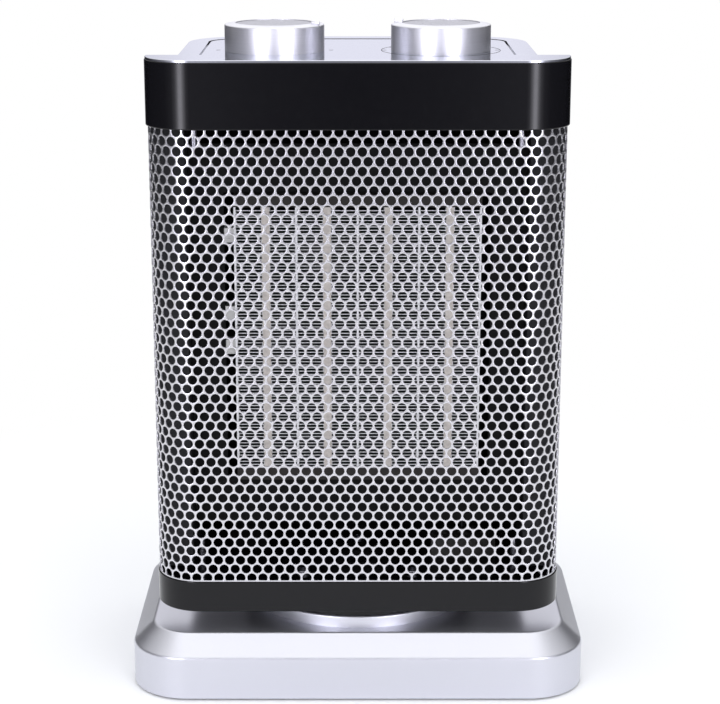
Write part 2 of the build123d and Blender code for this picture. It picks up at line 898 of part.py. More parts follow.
def make_thermal_cutout():
    """Round temperature switch on top of the duct."""
    low = core_centre_z + duct_half_height + wall
    y = (frame_front + frame_thick + duct_back) / 2
    middle = low + cutout_height
    body = post(cutout_x, y, cutout_radius, low, middle)
    return body + post(cutout_x, y, cutout_cap_radius, middle, middle + cutout_cap_height)


def standing_block(x, y, size):
    """Block standing on the floor of the tray."""
    wide, deep, high = size
    return block(x - wide / 2, x + wide / 2, y - deep / 2, y + deep / 2, floor_top, floor_top + high)


def make_tilt_switch():
    """Sealed switch that opens when the heater falls over."""
    return standing_block(tilt_x, tilt_y, tilt_size)


def make_terminal_block():
    body = standing_block(terminal_x, terminal_y, terminal_size)
    top = floor_top + terminal_size[2]
    for index in range(terminal_poles):
        x = terminal_x + (index - (terminal_poles - 1) / 2) * terminal_pitch
        body = body - post(x, terminal_y, terminal_well, top - terminal_well_depth, top + overrun)
    return body


def make_cord_gland():
    """Round gland in the back wall where the mains lead comes in."""
    inside = rear_back - wall
    front = inside - gland_flange_thick
    back = rear_back + gland_flange_thick
    body = barrel(gland_radius, front, back, 0, gland_z)
    outer = barrel(gland_flange, rear_back, back, 0, gland_z)
    nut = barrel(gland_flange, front, inside, 0, gland_z)
    bore = barrel(gland_bore, front - overrun, back + overrun, 0, gland_z)
    return body + outer + nut - bore


nodes = {
    "base_housing": make_base_housing(),
    "base_plate": make_base_plate(),
    "rubber_feet": make_feet(),
    "base_screws": make_base_screws(),
    "swivel_disc": make_swivel_disc(),
    "glide_ring": make_glide_ring(),
    "pivot_bush": make_pivot_bush(),
    "swing_motor": make_swing_motor(),
    "swing_motor_screws": make_swing_motor_screws(),
    "crank": make_crank(),
    "slotted_arm": make_slotted_arm(),
    "pivot_tube": make_pivot_tube(),
    "swivel_collar": make_swivel_collar(),
    "collar_screws": make_collar_screws(),
    "bottom_tray": make_bottom_tray(),
    "tray_screws": make_tray_screws(),
    "rear_housing": make_rear_housing(),
    "front_grille": make_grille(),
    "top_cap": make_top_cap(),
    "cap_screws": make_cap_screws(),
    "control_panel": make_control_panel(),
    "top_surround": make_top_surround(),
    "power_knob": make_knob(-knob_x, power_pointer_angle),
    "power_knob_shaft": make_knob_shaft(-knob_x),
    "thermostat_knob": make_knob(knob_x, heat_pointer_angle),
    "thermostat_knob_shaft": make_knob_shaft(knob_x),
    "panel_nuts": make_panel_nuts(),
    "power_switch": make_power_switch(),
    "thermostat": make_thermostat(),
    "ptc_ceramic_strips": make_ptc_strips(),
    "ptc_fins": make_ptc_fins(),
    "ptc_plates": make_ptc_plates(),
    "core_end_rails": make_core_rails(),
    "core_terminals": make_core_terminals(),
    "core_frame": make_core_frame(),
    "fan_shroud": make_fan_shroud(),
    "fan_impeller": make_fan(),
    "motor_rotor": make_motor_rotor(),
    "motor_spider": make_motor_spider(),
    "motor_laminations": make_motor_laminations(),
    "motor_coil": make_motor_coil(),
    "motor_bridges": make_motor_bridges(),
    "motor_screws": make_motor_screws(),
    "thermal_cutout": make_thermal_cutout(),
    "tilt_switch": make_tilt_switch(),
    "terminal_block": make_terminal_block(),
    "cord_gland": make_cord_gland(),
}

for name, shape in nodes.items():
    group = Compound(children=list(shape)) if isinstance(shape, list) else shape
    export_step(group, "parts/" + name + ".step")
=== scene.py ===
"""Oscillating fan heater: the finished surfaces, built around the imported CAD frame."""
import json
import math

import bmesh
import bpy
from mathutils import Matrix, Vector


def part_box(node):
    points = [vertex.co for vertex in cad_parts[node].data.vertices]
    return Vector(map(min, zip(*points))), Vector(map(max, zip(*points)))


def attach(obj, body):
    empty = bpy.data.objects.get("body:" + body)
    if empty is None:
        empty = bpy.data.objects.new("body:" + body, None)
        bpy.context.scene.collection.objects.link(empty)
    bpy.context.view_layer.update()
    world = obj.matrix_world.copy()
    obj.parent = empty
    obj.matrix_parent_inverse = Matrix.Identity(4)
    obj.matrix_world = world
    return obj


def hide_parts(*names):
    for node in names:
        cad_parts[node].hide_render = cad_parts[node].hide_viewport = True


bl_info = {
    "name": "Oscillating fan heater",
    "version": (1, 0, 0),
    "blender": (4, 5, 0),
    "location": "3D View > Sidebar > Fan heater",
    "description": "Builds the finished surfaces of a fan heater around its CAD frame",
    "category": "Add Mesh",
}

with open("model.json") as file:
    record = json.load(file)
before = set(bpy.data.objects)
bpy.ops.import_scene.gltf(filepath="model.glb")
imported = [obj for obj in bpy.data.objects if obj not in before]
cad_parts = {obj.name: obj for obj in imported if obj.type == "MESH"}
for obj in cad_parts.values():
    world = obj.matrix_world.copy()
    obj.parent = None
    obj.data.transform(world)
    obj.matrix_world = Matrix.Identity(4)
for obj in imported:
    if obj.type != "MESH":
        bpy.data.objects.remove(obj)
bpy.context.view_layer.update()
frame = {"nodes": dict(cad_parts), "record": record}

MM = 0.001
MERGE = 0.00001  # points closer than this are one point
FACING = 0.9  # least share of a face's normal along an axis that it faces
SHARP = math.radians(40)  # edges that turn by more are sharp
SPARE_CELLS = 2  # grille cells made beyond the trimmed sheet
GRILLE_CORNER_STEPS = 24
HEM_CUTS = 120
SLOT_ROUNDING = 0.9  # as a share of half a slot's height
BLADE_CHORD = 2.4  # times the depth of the fan
SCREW_SHANK = 0.47  # this and the next are shares of the head's radius
SCREW_RECESS_REACH = 0.62
SCREW_RECESS_DEPTH = 0.7  # this and the next are shares of the head's thickness
SCREW_ROUNDING = 0.4
KNOBS = ("power_knob", "thermostat_knob")
MESH_PARTS = {"FACE": "faces", "EDGE": "edges", "VERT": "verts"}


def size(name, value, description):
    """Length property given in millimetres."""
    return bpy.props.FloatProperty(
        name=name, description=description, default=value * MM, unit="LENGTH", subtype="DISTANCE"
    )


def degrees(name, value, description):
    """Angle property given in degrees."""
    return bpy.props.FloatProperty(
        name=name, description=description, default=math.radians(value), unit="ROTATION",
        subtype="ANGLE",
    )


def amount(name, value, description):
    return bpy.props.IntProperty(name=name, description=description, default=value, min=1)


def colour(name, value, description):
    return bpy.props.FloatVectorProperty(
        name=name, description=description, default=value, subtype="COLOR", size=3, min=0, max=1
    )


class HeaterSizes(bpy.types.PropertyGroup):
    """Sizes of the pieces that are modelled here."""

    hole_pitch: size("Hole pitch", 4.5, "Distance between neighbouring grille holes in a row")
    row_pitch: size("Row pitch", 3.8015, "Distance between rows of grille holes")
    hole_width: size("Hole width", 3.9, "Width of a grille hole")
    hole_rim: size("Hole rim", 0.22, "Width of the rolled rim round a grille hole")
    rim_depth: size("Rim depth", 0.04, "Depth of the rolled rim round a grille hole")
    hole_shift: size("Hole shift", 1.77, "How far the hole pattern stands right of the middle")
    row_start: size("Row start", 217.12, "Height of a row of holes above the floor")
    blank_half: size("Blank half length", 100, "Half the length of the sheet before it is trimmed")
    sheet: size("Grille sheet", 0.5, "Thickness of the punched sheet")
    hem: size("Hem", 0.5, "Height of the plain hem along the sheet's lower edge")
    hem_proud: size("Hem proud", 0.06, "How far the hem stands out of the sheet")
    grille_corner: size("Grille corner", 17.9, "Outside radius of the grille's front corners")
    ear_back: size("Ear back", -31.5, "Back of the wide front part of the body")
    rear_half: size("Rear half width", 70.7, "Half width of the back shell")
    rear_corner: size("Rear corner", 25.0, "Radius of the back shell's corners")
    tongue_half: size("Tongue half width", 61.3, "Half width of the plate that carries the knobs")
    tongue_back: size("Tongue back", 31.7, "Back edge of the plate that carries the knobs")
    tongue_corner: size("Tongue corner", 12.0, "Radius of that plate's back corners")
    groove: size("Groove", 0.8, "Width of the groove between the two top plates")
    base_corner: size("Base corner", 23.7, "Radius of the base's corners")
    bevel_run: size("Bevel run", 8.5, "Width of the base's bevel seen from above")
    bevel_rise: size("Bevel rise", 8.1, "Height of the base's bevel")
    edge: size("Edge rounding", 0.5, "Rounding of moulded edges")
    base_wall: size("Base wall", 2.4, "Wall of the base")
    base_round: size("Base rounding", 0.7, "Rounding between the base's side, bevel and top")
    wall: size("Body wall", 2.2, "Wall of the body's moulded pieces")
    hub: size("Hub", 13.1, "Radius of the hole in the base for the swivel bush")
    disc_radius: size("Disc radius", 49.0, "Radius of the raised swivel disc")
    disc_taper: size("Disc taper", 0.3, "How far the disc's edge leans in")
    disc_edge: size("Disc edge", 1.0, "Chamfer round the disc's top")
    collar_wall: size("Collar wall", 3.6, "Wall of the black collar over the disc")
    collar_web: size("Collar web", 32.9, "Height of the collar's inner face above the floor")
    tube_radius: size("Tube radius", 10.1, "Radius of the hole in the collar for the swivel tube")
    plate_margin: size("Plate margin", 0.3, "Step between a top plate and the cap under it")
    plate_edge: size("Plate edge", 0.25, "Rounding of the top plates' edges")
    bush_radius: size("Bush radius", 5.1, "Radius of the holes for the controls")
    fin_pitch: size("Fin pitch", 1.31, "Height of one fold of the heating fins")
    fin_sheet: size("Fin sheet", 0.36, "Thickness of the heating fins")
    strip_half: size("Strip half", 1.65, "From the middle of a ceramic strip to its fins")
    fin_width: size("Fin width", 10.3, "Width of a fin ribbon")
    knob_radius: size("Knob radius", 19.9, "Radius of a knob")
    knob_height: size("Knob height", 10.8, "Height of a knob")
    knob_drop: size("Knob drop", 0.28, "How far a knob's skirt reaches below the plain one")
    knob_wall: size("Knob wall", 2.2, "Wall of a knob")
    knob_rim: size("Knob rim", 4.4, "Width of the bright rim of a knob")
    knob_slope: size("Knob slope", 0.7, "How far a knob's rim falls towards its edge")
    knob_edge: size("Knob edge", 0.5, "Rounding of a knob's upper edge")
    knob_hub: size("Knob hub", 5.0, "Radius of the hub inside a knob")
    shaft_radius: size("Shaft radius", 3.0, "Radius of the bore in a knob")
    ring_radius: size("Ring radius", 23.6, "Radius of the printed ring round a knob")
    # The dark line in the groove is painted shade.
    groove_shade_rise: size("Groove line rise", 0.14, "How far the dark line in the groove stands up")
    ring_line: size("Ring line", 0.25, "Width of the printed lines")
    print_thick: size("Print thickness", 0.04, "Thickness of the printed lines")
    tick_length: size("Tick length", 1.6, "Length of a printed tick")
    dish_depth: size("Dish depth", 0.6, "Depth of the dish in a knob")
    pointer_length: size("Pointer length", 3.6, "Length of a knob's pointer")
    pointer_width: size("Pointer width", 1.1, "Width of a knob's pointer")
    pointer_height: size("Pointer height", 0.8, "Height of the pointer above the rim")
    power_pointer: degrees("Power pointer", -22, "Where the left knob points at rest")
    heat_pointer: degrees("Heat pointer", 160, "Where the right knob points at rest")
    slot_width: size("Slot width", 40.0, "Width of a rear slot")
    slot_height: size("Slot height", 4.6, "Height of a rear slot")
    slot_pitch: size("Slot pitch", 8.5, "Distance between rear slots")
    slot_middle: size("Slot middle", 6.0, "Width of the bar between the two columns of slots")
    core_middle: size("Core middle", 143.5, "Height of the middle of the rear slots and the fan")
    gland_height: size("Gland height", 62.0, "Height of the cord gland")
    gland_radius: size("Gland radius", 6.4, "Radius of the cord gland's body")
    gland_flange: size("Gland flange", 8.5, "Radius of the cord gland's flanges")
    gland_bore: size("Gland bore", 3.6, "Radius of the cord gland's bore")
    flange_thick: size("Flange thickness", 2.0, "Thickness of the cord gland's flanges")
    fan_hub: size("Fan hub", 12.0, "Radius of the fan's hub")
    fan_radius: size("Fan radius", 45.4, "Radius of the fan")
    blade_thick: size("Blade thickness", 1.4, "Thickness of a fan blade")
    blade_root: size("Blade root", 2, "How far a blade reaches into the hub")
    blade_pitch: degrees("Blade pitch", 50, "How far a blade is turned from the fan's axis")
    blade_twist: degrees("Blade twist", 24, "How far a blade twists from hub to tip")
    foot_radius: size("Foot radius", 7.0, "Radius of a foot")
    screw_recess: size("Screw recess", 0.9, "Width of each bar of the cross in a screw head")


class HeaterCounts(bpy.types.PropertyGroup):
    """How many there are of each repeated form."""

    slot_rows: amount("Slot rows", 11, "Rows of slots in the back")
    core_units: amount("Core units", 4, "Heating units side by side in the core")
    fan_blades: amount("Fan blades", 5, "Blades of the fan")
    power_ticks: amount("Power ticks", 4, "Printed ticks round the left knob")
    heat_ticks: amount("Heat ticks", 7, "Printed ticks round the right knob")


class HeaterColours(bpy.types.PropertyGroup):
    """Colours of the finishes."""

    base_silver: colour("Base silver", (0.67, 0.675, 0.735), "Satin silver paint of the base")
    plate_silver: colour("Plate silver", (0.78, 0.80, 0.88), "Bright silver of the top plates")
    knob_silver: colour("Knob silver", (0.82, 0.82, 0.88), "Metallised silver of the knobs")
    grille_silver: colour("Grille silver", (0.7, 0.695, 0.74), "Silver of the punched sheet")
    trim_black: colour("Trim black", (0.0022, 0.0021, 0.0034), "Gloss black of the bands")
    shell_black: colour("Shell black", (0.016, 0.016, 0.018), "Grained black of the back shell")


def select_only(thing):
    bpy.ops.object.select_all(action="DESELECT")
    thing.select_set(True)
    bpy.context.view_layer.objects.active = thing


def open_mesh(thing, kind="FACE"):
    """Goes into edit mode with nothing selected."""
    select_only(thing)
    bpy.ops.object.mode_set(mode="EDIT")
    bpy.ops.mesh.select_mode(type=kind)
    bpy.ops.mesh.select_all(action="DESELECT")


def close_mesh():
    bpy.ops.object.mode_set(mode="OBJECT")


def mark_all():
    bpy.ops.mesh.select_all(action="SELECT")


def mark(thing, kind, test):
    """Selects the faces, edges or points of an open mesh that pass the test."""
    mesh = bmesh.from_edit_mesh(thing.data)
    bpy.ops.mesh.select_mode(type=kind)
    for item in getattr(mesh, MESH_PARTS[kind]):
        item.select_set(test(item))
    mesh.select_flush_mode()
    bmesh.update_edit_mesh(thing.data)


def mark_faces(thing, test):
    """Selects the faces whose middle and normal pass the test."""
    mark(thing, "FACE", lambda face: test(face.calc_center_median(), face.normal))


def mark_edges(thing, test):
    """Selects the edges whose two ends pass the test."""
    mark(thing, "EDGE", lambda edge: test(edge.verts[0].co, edge.verts[1].co))


def drop_faces(thing, test):
    """Takes away the faces whose middle and normal pass the test."""
    open_mesh(thing)
    mark_faces(thing, test)
    bpy.ops.mesh.delete(type="FACE")
    close_mesh()


def open_side(thing, height):
    """Takes away the flat faces at one height."""
    drop_faces(thing, lambda p, n: abs(p.z - height) < MERGE and abs(n.z) > FACING)


def open_front(thing, depth):
    """Takes away the flat face that looks to the front at one depth."""
    drop_faces(thing, lambda p, n: abs(p.y - depth) < MERGE and n.y < -FACING)


def round_edges(thing, test, radius, segments):
    """Rounds the edges whose two ends pass the test."""
    open_mesh(thing, "EDGE")
    mark_edges(thing, test)
    bpy.ops.mesh.bevel(offset=radius, segments=segments, affect="EDGES")
    close_mesh()


def round_uprights(thing, test, radius, segments=12):
    """Rounds the upright edges whose place passes the test."""
    def upright(a, b):
        return abs(a.z - b.z) > MM / 2 and (a - b).xy.length < MERGE and test(a)
    round_edges(thing, upright, radius, segments)


def round_rim(thing, height, radius):
    """Rounds the sharp edges that lie flat at one height."""
    def on_rim(edge):
        level = all(abs(v.co.z - height) < MERGE for v in edge.verts)
        return level and len(edge.link_faces) == 2 and edge.calc_face_angle() > SHARP
    open_mesh(thing, "EDGE")
    mark(thing, "EDGE", on_rim)
    bpy.ops.mesh.bevel(offset=radius, segments=3, affect="EDGES")
    close_mesh()


def named(name):
    """The object that was just added, under its own name."""
    thing = bpy.context.active_object
    thing.name = name
    thing.data.name = name
    return thing


def apply_place(thing):
    select_only(thing)
    bpy.ops.object.transform_apply(location=True, rotation=True, scale=True)


def modify(thing, kind, **settings):
    """Adds a modifier and applies it at once."""
    select_only(thing)
    modifier = thing.modifiers.new(kind.lower(), kind)
    for key, value in settings.items():
        setattr(modifier, key, value)
    bpy.ops.object.modifier_apply(modifier=modifier.name)


def hollow(thing, wall):
    """Gives an open shell its wall, on the inside."""
    modify(thing, "SOLIDIFY", thickness=wall, offset=-1.0, use_even_offset=True)


def repeat(thing, count, step, merged=True):
    """Puts a number of the piece in a row, each a step from the one before."""
    modify(thing, "ARRAY", count=count, use_relative_offset=False, use_constant_offset=True,
           constant_offset_displace=step, use_merge_vertices=merged, merge_threshold=MERGE)


def cut(thing, tool, operation="DIFFERENCE"):
    """Cuts or joins with another solid, which is then used up."""
    modify(thing, "BOOLEAN", object=tool, operation=operation, solver="EXACT")
    bpy.data.objects.remove(tool)


def join(things, name):
    bpy.ops.object.select_all(action="DESELECT")
    for thing in things:
        thing.select_set(True)
    bpy.context.view_layer.objects.active = things[0]
    bpy.ops.object.join()
    return named(name)


def block(name, low, high):
    """Cube between two corners."""
    low, high = Vector(low), Vector(high)
    bpy.ops.mesh.primitive_cube_add(size=1, location=(low + high) / 2)
    thing = named(name)
    thing.scale = high - low
    apply_place(thing)
    return thing


def bar(name, radius, low, high, centre, sides=48):
    """Upright round bar."""
    bpy.ops.mesh.primitive_cylinder_add(
        vertices=sides, radius=radius, depth=high - low, location=(*centre, (low + high) / 2)
    )
    thing = named(name)
    apply_place(thing)
    return thing


def profile_line(name, points):
    """Open line through the points, drawn on from one corner of a plane."""
    bpy.ops.mesh.primitive_plane_add(size=MM)
    thing = named(name)
    open_mesh(thing, "VERT")
    mark(thing, "VERT", lambda vert: vert.co.x < 0 or vert.co.y < 0)
    bpy.ops.mesh.delete(type="VERT")
    mark_all()
    bpy.ops.transform.translate(value=Vector(points[0]) - Vector((MM / 2, MM / 2, 0)))
    for start, end in zip(points, points[1:]):
        step = Vector(end) - Vector(start)
        bpy.ops.mesh.extrude_vertices_move(TRANSFORM_OT_translate={"value": step})
    return thing


def turned(name, profile, centre=(0.0, 0.0), steps=96, rounds=()):
    """Solid of revolution about an upright axis, from a closed line of radius and height.

    Each entry of rounds rounds the ring at a radius and height by an amount.
    """
    x, y = centre
    points = [(x + radius, y, height) for radius, height in (*profile, profile[0])]
    thing = profile_line(name, points)
    mark_all()
    bpy.ops.mesh.spin(steps=steps, angle=2 * math.pi, center=(x, y, 0), axis=(0, 0, 1))
    mark_all()
    bpy.ops.mesh.remove_doubles(threshold=MERGE)
    bpy.ops.mesh.normals_make_consistent(inside=False)
    for radius, height, offset in rounds:
        def on_ring(p):
            reach = (p.xy - Vector(centre)).length
            return abs(reach - radius) < MERGE * 2 and abs(p.z - height) < MERGE * 2
        bpy.ops.mesh.select_all(action="DESELECT")
        mark_edges(thing, lambda a, b: on_ring(a) and on_ring(b))
        bpy.ops.mesh.bevel(offset=offset, segments=4, affect="EDGES")
    close_mesh()
    return thing


def lay_down(thing, place):
    """Turns an upright piece to lie along Y, its upper end to the front."""
    thing.rotation_euler.x = math.radians(90)
    thing.location = place
    apply_place(thing)


def copies(thing, places):
    """The piece repeated at each shift, as one piece."""
    parts = [thing]
    for place in places[1:]:
        select_only(thing)
        bpy.ops.object.duplicate()
        other = bpy.context.active_object
        other.location = place
        parts.append(other)
    thing.location = places[0]
    joined = join(parts, thing.name) if len(parts) > 1 else thing
    apply_place(joined)
    return joined


def middle(node):
    """Middle of a CAD node's box."""
    return sum(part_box(node), Vector()) / 2


def loose_parts(node):
    """Lowest and highest corner of each separate solid of a CAD node."""
    select_only(frame["nodes"][node])
    bpy.ops.object.duplicate()
    scratch = bpy.context.active_object
    open_mesh(scratch)
    mark_all()
    bpy.ops.mesh.remove_doubles(threshold=MERGE)
    bpy.ops.mesh.separate(type="LOOSE")
    close_mesh()
    parts = [thing for thing in bpy.context.selected_objects if thing.type == "MESH"]
    corners = []
    for part in parts:
        points = [vert.co for vert in part.data.vertices]
        low = Vector(min(p[axis] for p in points) for axis in range(3))
        high = Vector(max(p[axis] for p in points) for axis in range(3))
        corners.append((low, high))
        bpy.data.objects.remove(part)
    return sorted(corners, key=lambda pair: tuple(pair[0]))


def axes_of(parts):
    """Where the upright axis of each solid meets the floor, from its two corners."""
    return [((low.x + high.x) / 2, (low.y + high.y) / 2, 0) for low, high in parts]


def rounded_back(name, half, front, back, corner, low, high):
    """Block whose two back uprights are rounded."""
    thing = block(name, (-half, front, low), (half, back, high))
    round_uprights(thing, lambda p: p.y > back - MM, corner)
    return thing


def rounded_front(name, half, front, back, corner, low, high):
    """Block whose two front uprights are rounded."""
    thing = block(name, (-half, front, low), (half, back, high))
    round_uprights(thing, lambda p: p.y < front + MM, corner, segments=16)
    return thing


def front_corner(high):
    """Radius of the front corners of a piece that stands out of the grille at its sides."""
    proud = high.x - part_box("front_grille")[1].x
    return bpy.context.scene.heater_sizes.grille_corner + proud


def body_block(name, node):
    """Block in a node's box with the body's plan: a wide rounded front, a narrower back."""
    sizes = bpy.context.scene.heater_sizes
    low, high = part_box(node)
    wide = rounded_front(name, high.x, low.y, sizes.ear_back, front_corner(high), low.z, high.z)
    narrow = rounded_back("narrow", sizes.rear_half, (low.y + sizes.ear_back) / 2, high.y,
                          sizes.rear_corner, low.z, high.z)
    cut(wide, narrow, "UNION")
    return wide


def settle(thing, body, slot, *nodes, angle=32):
    """Finishes a piece: smooth shading, its surface, its body and the CAD nodes it shows."""
    apply_place(thing)
    bpy.ops.object.shade_smooth_by_angle(angle=math.radians(angle))
    modify(thing, "WEIGHTED_NORMAL", keep_sharp=True)
    thing.data.materials.clear()
    thing.data.materials.append(surface(slot))
    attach(thing, body)
    if nodes:
        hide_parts(*nodes)
    return thing


class Nodes:
    """A node tree under construction."""

    def __init__(self, tree):
        self.tree = tree

    def node(self, kind, **settings):
        node = self.tree.nodes.new(kind)
        for key, value in settings.items():
            setattr(node, key, value)
        return node

    def link(self, start, end):
        self.tree.links.new(start, end)

    def feed(self, kind, *values, **settings):
        """Adds a node with links or plain values in its first sockets; returns its first output."""
        node = self.node(kind, **settings)
        for socket, value in zip(node.inputs, values):
            if isinstance(value, bpy.types.NodeSocket):
                self.link(value, socket)
            else:
                socket.default_value = value
        return node.outputs[0]

    def work_out(self, operation, *values):
        return self.feed("ShaderNodeMath", *values, operation=operation)

    def blend(self, share, first, second):
        """Runs from one colour to another, each a plain colour or a link."""
        mix = self.node("ShaderNodeMix", data_type="RGBA")
        for name, value in (("Factor", share), ("A", first), ("B", second)):
            if isinstance(value, bpy.types.NodeSocket):
                self.link(value, mix.inputs[name])
            else:
                mix.inputs[name].default_value = (*value, 1.0)
        return mix.outputs["Result"]

    def show(self, output, shader):
        self.link(shader, self.tree.nodes[output].inputs["Surface"])


class Finish(Nodes):
    """A material under construction, with the nodes most finishes share."""

    def __init__(self, name, base, metallic=0.0, roughness=0.5):
        self.material = bpy.data.materials.new(name)
        self.material.use_nodes = True
        super().__init__(self.material.node_tree)
        self.shader = self.tree.nodes["Principled BSDF"]
        self.base = base
        self.set("Base Color", (*base, 1.0))
        self.set("Metallic", metallic)
        self.set("Roughness", roughness)
        self.place = self.node("ShaderNodeTexCoord").outputs["Object"]
        self.height = None

    def set(self, socket, value):
        self.shader.inputs[socket].default_value = value

    def axes(self):
        """The object's own X, Y and Z."""
        parts = self.node("ShaderNodeSeparateXYZ")
        self.link(self.place, parts.inputs["Vector"])
        return parts.outputs

    def noise(self, scale, detail=2.0, stretch=(1, 1, 1)):
        """Noise in the object's own space, with a number of features per metre."""
        turn = self.node("ShaderNodeMapping")
        turn.inputs["Scale"].default_value = stretch
        self.link(self.place, turn.inputs["Vector"])
        noise = self.node("ShaderNodeTexNoise")
        noise.inputs["Scale"].default_value = scale
        noise.inputs["Detail"].default_value = detail
        self.link(turn.outputs["Vector"], noise.inputs["Vector"])
        return noise.outputs["Fac"]

    def ramp(self, value, low, high, start=0.3, stop=0.7):
        """Maps a pattern, from start to stop, to a range."""
        return self.feed("ShaderNodeMapRange", value, start, stop, low, high)

    def vary_roughness(self, value, low, high):
        self.link(self.ramp(value, low, high), self.shader.inputs["Roughness"])

    def vary_colour(self, value, other, start=0.3, stop=0.7):
        """Runs the colour from the base to another along a pattern."""
        mixed = self.blend(self.ramp(value, 0.0, 1.0, start, stop), self.base, other)
        self.link(mixed, self.shader.inputs["Base Color"])

    def relief(self, value, strength, distance):
        """Adds a layer of bump under the ones before it."""
        bump = self.node("ShaderNodeBump")
        bump.inputs["Strength"].default_value = strength
        bump.inputs["Distance"].default_value = distance
        self.link(value, bump.inputs["Height"])
        if self.height is not None:
            self.link(self.height, bump.inputs["Normal"])
        self.height = bump.outputs["Normal"]
        self.link(self.height, self.shader.inputs["Normal"])


def scaled(base, factor):
    return tuple(min(1.0, part * factor) for part in base)


def painted_silver(name, base, roughness, metallic):
    """Silver paint with fine metal flake."""
    finish = Finish(name, base, metallic, roughness)
    finish.vary_colour(finish.noise(9000, 1.0), scaled(base, 0.95))
    finish.vary_roughness(finish.noise(900, 2.0), roughness * 0.95, roughness * 1.06)
    finish.relief(finish.noise(5200, 1.0), 0.04, 0.00002)
    return finish.material


def polished_silver(name, base):
    """Bright plate with the faintest change of tone."""
    finish = Finish(name, base, 1.0, 0.1)
    finish.set("Specular Tint", (0.95, 0.96, 0.98, 1.0))
    finish.vary_colour(finish.noise(4200, 1.0), scaled(base, 0.98))
    finish.vary_roughness(finish.noise(700, 2.0), 0.09, 0.11)
    return finish.material


def turned_silver(name, base):
    """Metallised silver with faint rings from the tool around the upright axis."""
    finish = Finish(name, base, 1.0, 0.4)
    lines = finish.noise(900, 2.0, (0.05, 0.05, 3.0))
    finish.vary_roughness(lines, 0.37, 0.43)
    finish.vary_colour(lines, scaled(base, 0.96))
    return finish.material


def gloss_black(name, base):
    """High gloss black with a trace of dust and a faint waviness."""
    finish = Finish(name, base, 0.0, 0.1)
    finish.set("IOR", 1.38)
    finish.vary_roughness(finish.noise(350, 4.0), 0.07, 0.13)
    finish.vary_colour(finish.noise(2200, 2.0), scaled(base, 1.8), 0.62, 0.8)
    finish.relief(finish.noise(45, 1.0), 0.02, 0.0001)
    return finish.material


def grained_plastic(name, base, roughness=0.45, grain=1400, shine=1.45):
    """Moulded plastic with a fine spark-eroded grain."""
    finish = Finish(name, base, 0.0, roughness)
    finish.set("IOR", shine)
    finish.vary_roughness(finish.noise(grain * 0.4, 2.0), roughness * 0.85, roughness * 1.15)
    finish.vary_colour(finish.noise(grain * 0.1, 3.0), scaled(base, 1.25))
    finish.relief(finish.noise(grain, 2.0), 0.25, 0.00008)
    return finish.material


def drawn_metal(name, base, roughness=0.3):
    """Bare metal with fine draw lines."""
    finish = Finish(name, base, 1.0, roughness)
    lines = finish.noise(1800, 3.0, (0.1, 0.1, 3.0))
    finish.vary_roughness(lines, roughness * 0.75, roughness * 1.3)
    finish.vary_colour(finish.noise(260, 4.0), scaled(base, 0.96))
    finish.relief(lines, 0.12, 0.00003)
    return finish.material


def banded_metal(name, base, axis, lines_per_metre, other):
    """Stacked sheets or wound wire: even lines across one axis."""
    finish = Finish(name, base, 0.9, 0.4)
    wave = finish.node("ShaderNodeTexWave", bands_direction=axis)
    wave.inputs["Scale"].default_value = lines_per_metre / 20 * math.pi
    wave.inputs["Distortion"].default_value = 0.0
    finish.link(finish.place, wave.inputs["Vector"])
    finish.vary_colour(wave.outputs["Fac"], other, 0.1, 0.9)
    finish.relief(wave.outputs["Fac"], 0.4, 0.0002)
    finish.vary_roughness(finish.noise(700, 2.0), 0.32, 0.5)
    return finish.material


def fins_with_painted_shade(name, base, front):
    """Aluminium folds: bright along the front edges, with painted shade from just behind them."""
    finish = Finish(name, base, 0.5, 0.38)
    # Painted shade: each fold turns near black from just behind its front edge.
    finish.vary_colour(finish.axes()["Y"], scaled(base, 0.03), front + 0.05 * MM, front + 0.5 * MM)
    finish.vary_roughness(finish.noise(1800, 3.0, (3.0, 0.1, 0.1)), 0.3, 0.46)
    finish.relief(finish.noise(900, 2.0), 0.15, 0.00004)
    return finish.material


def fired_ceramic(name, base):
    """Unglazed ceramic with speckle and soft stains."""
    finish = Finish(name, base, 0.0, 0.75)
    finish.vary_colour(finish.noise(700, 4.0), scaled(base, 0.78))
    finish.vary_roughness(finish.noise(1600, 2.0), 0.65, 0.85)
    finish.relief(finish.noise(2400, 3.0), 0.3, 0.0001)
    return finish.material


def finish_table():
    """For each slot, the kind of finish, its base colour and the kind's other values."""
    colours = bpy.context.scene.heater_colours
    return {
        "base_silver": (painted_silver, colours.base_silver, 0.36, 0.92),
        "plate_silver": (polished_silver, colours.plate_silver),
        "knob_silver": (turned_silver, colours.knob_silver),
        "grille_silver": (painted_silver, colours.grille_silver, 0.26, 0.94),
        "trim_black": (gloss_black, colours.trim_black),
        "shell_black": (grained_plastic, colours.shell_black, 0.6, 1400, 1.22),
        "inner_black": (grained_plastic, (0.006, 0.006, 0.0065), 0.62, 1900, 1.18),
        "plate_steel": (grained_plastic, (0.035, 0.035, 0.038), 0.55, 2600),
        "bright_steel": (drawn_metal, (0.42, 0.42, 0.47)),
        "core_iron": (banded_metal, (0.34, 0.35, 0.37), "Y", 2000, (0.12, 0.12, 0.13)),
        "foot_rubber": (grained_plastic, (0.018, 0.018, 0.018), 0.85, 900),
        # The bearing parts are white nylon, painted near black: painted shade for the dark places
        # they sit in.
        "bearing_white": (grained_plastic, (0.045, 0.044, 0.042), 0.6, 1200),
        "ceramic_beige": (fired_ceramic, (0.62, 0.57, 0.54)),
        "fin_aluminium": (fins_with_painted_shade, (0.8, 0.8, 0.83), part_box("ptc_fins")[0].y),
        "rail_brown": (grained_plastic, (0.03, 0.027, 0.026), 0.6, 1500, 1.2),
        "tab_tinned": (drawn_metal, (0.6, 0.6, 0.6), 0.35),
        "coil_copper": (banded_metal, (0.62, 0.25, 0.12), "X", 2200, (0.3, 0.1, 0.05)),
        "brass_bright": (drawn_metal, (0.72, 0.53, 0.25)),
    }


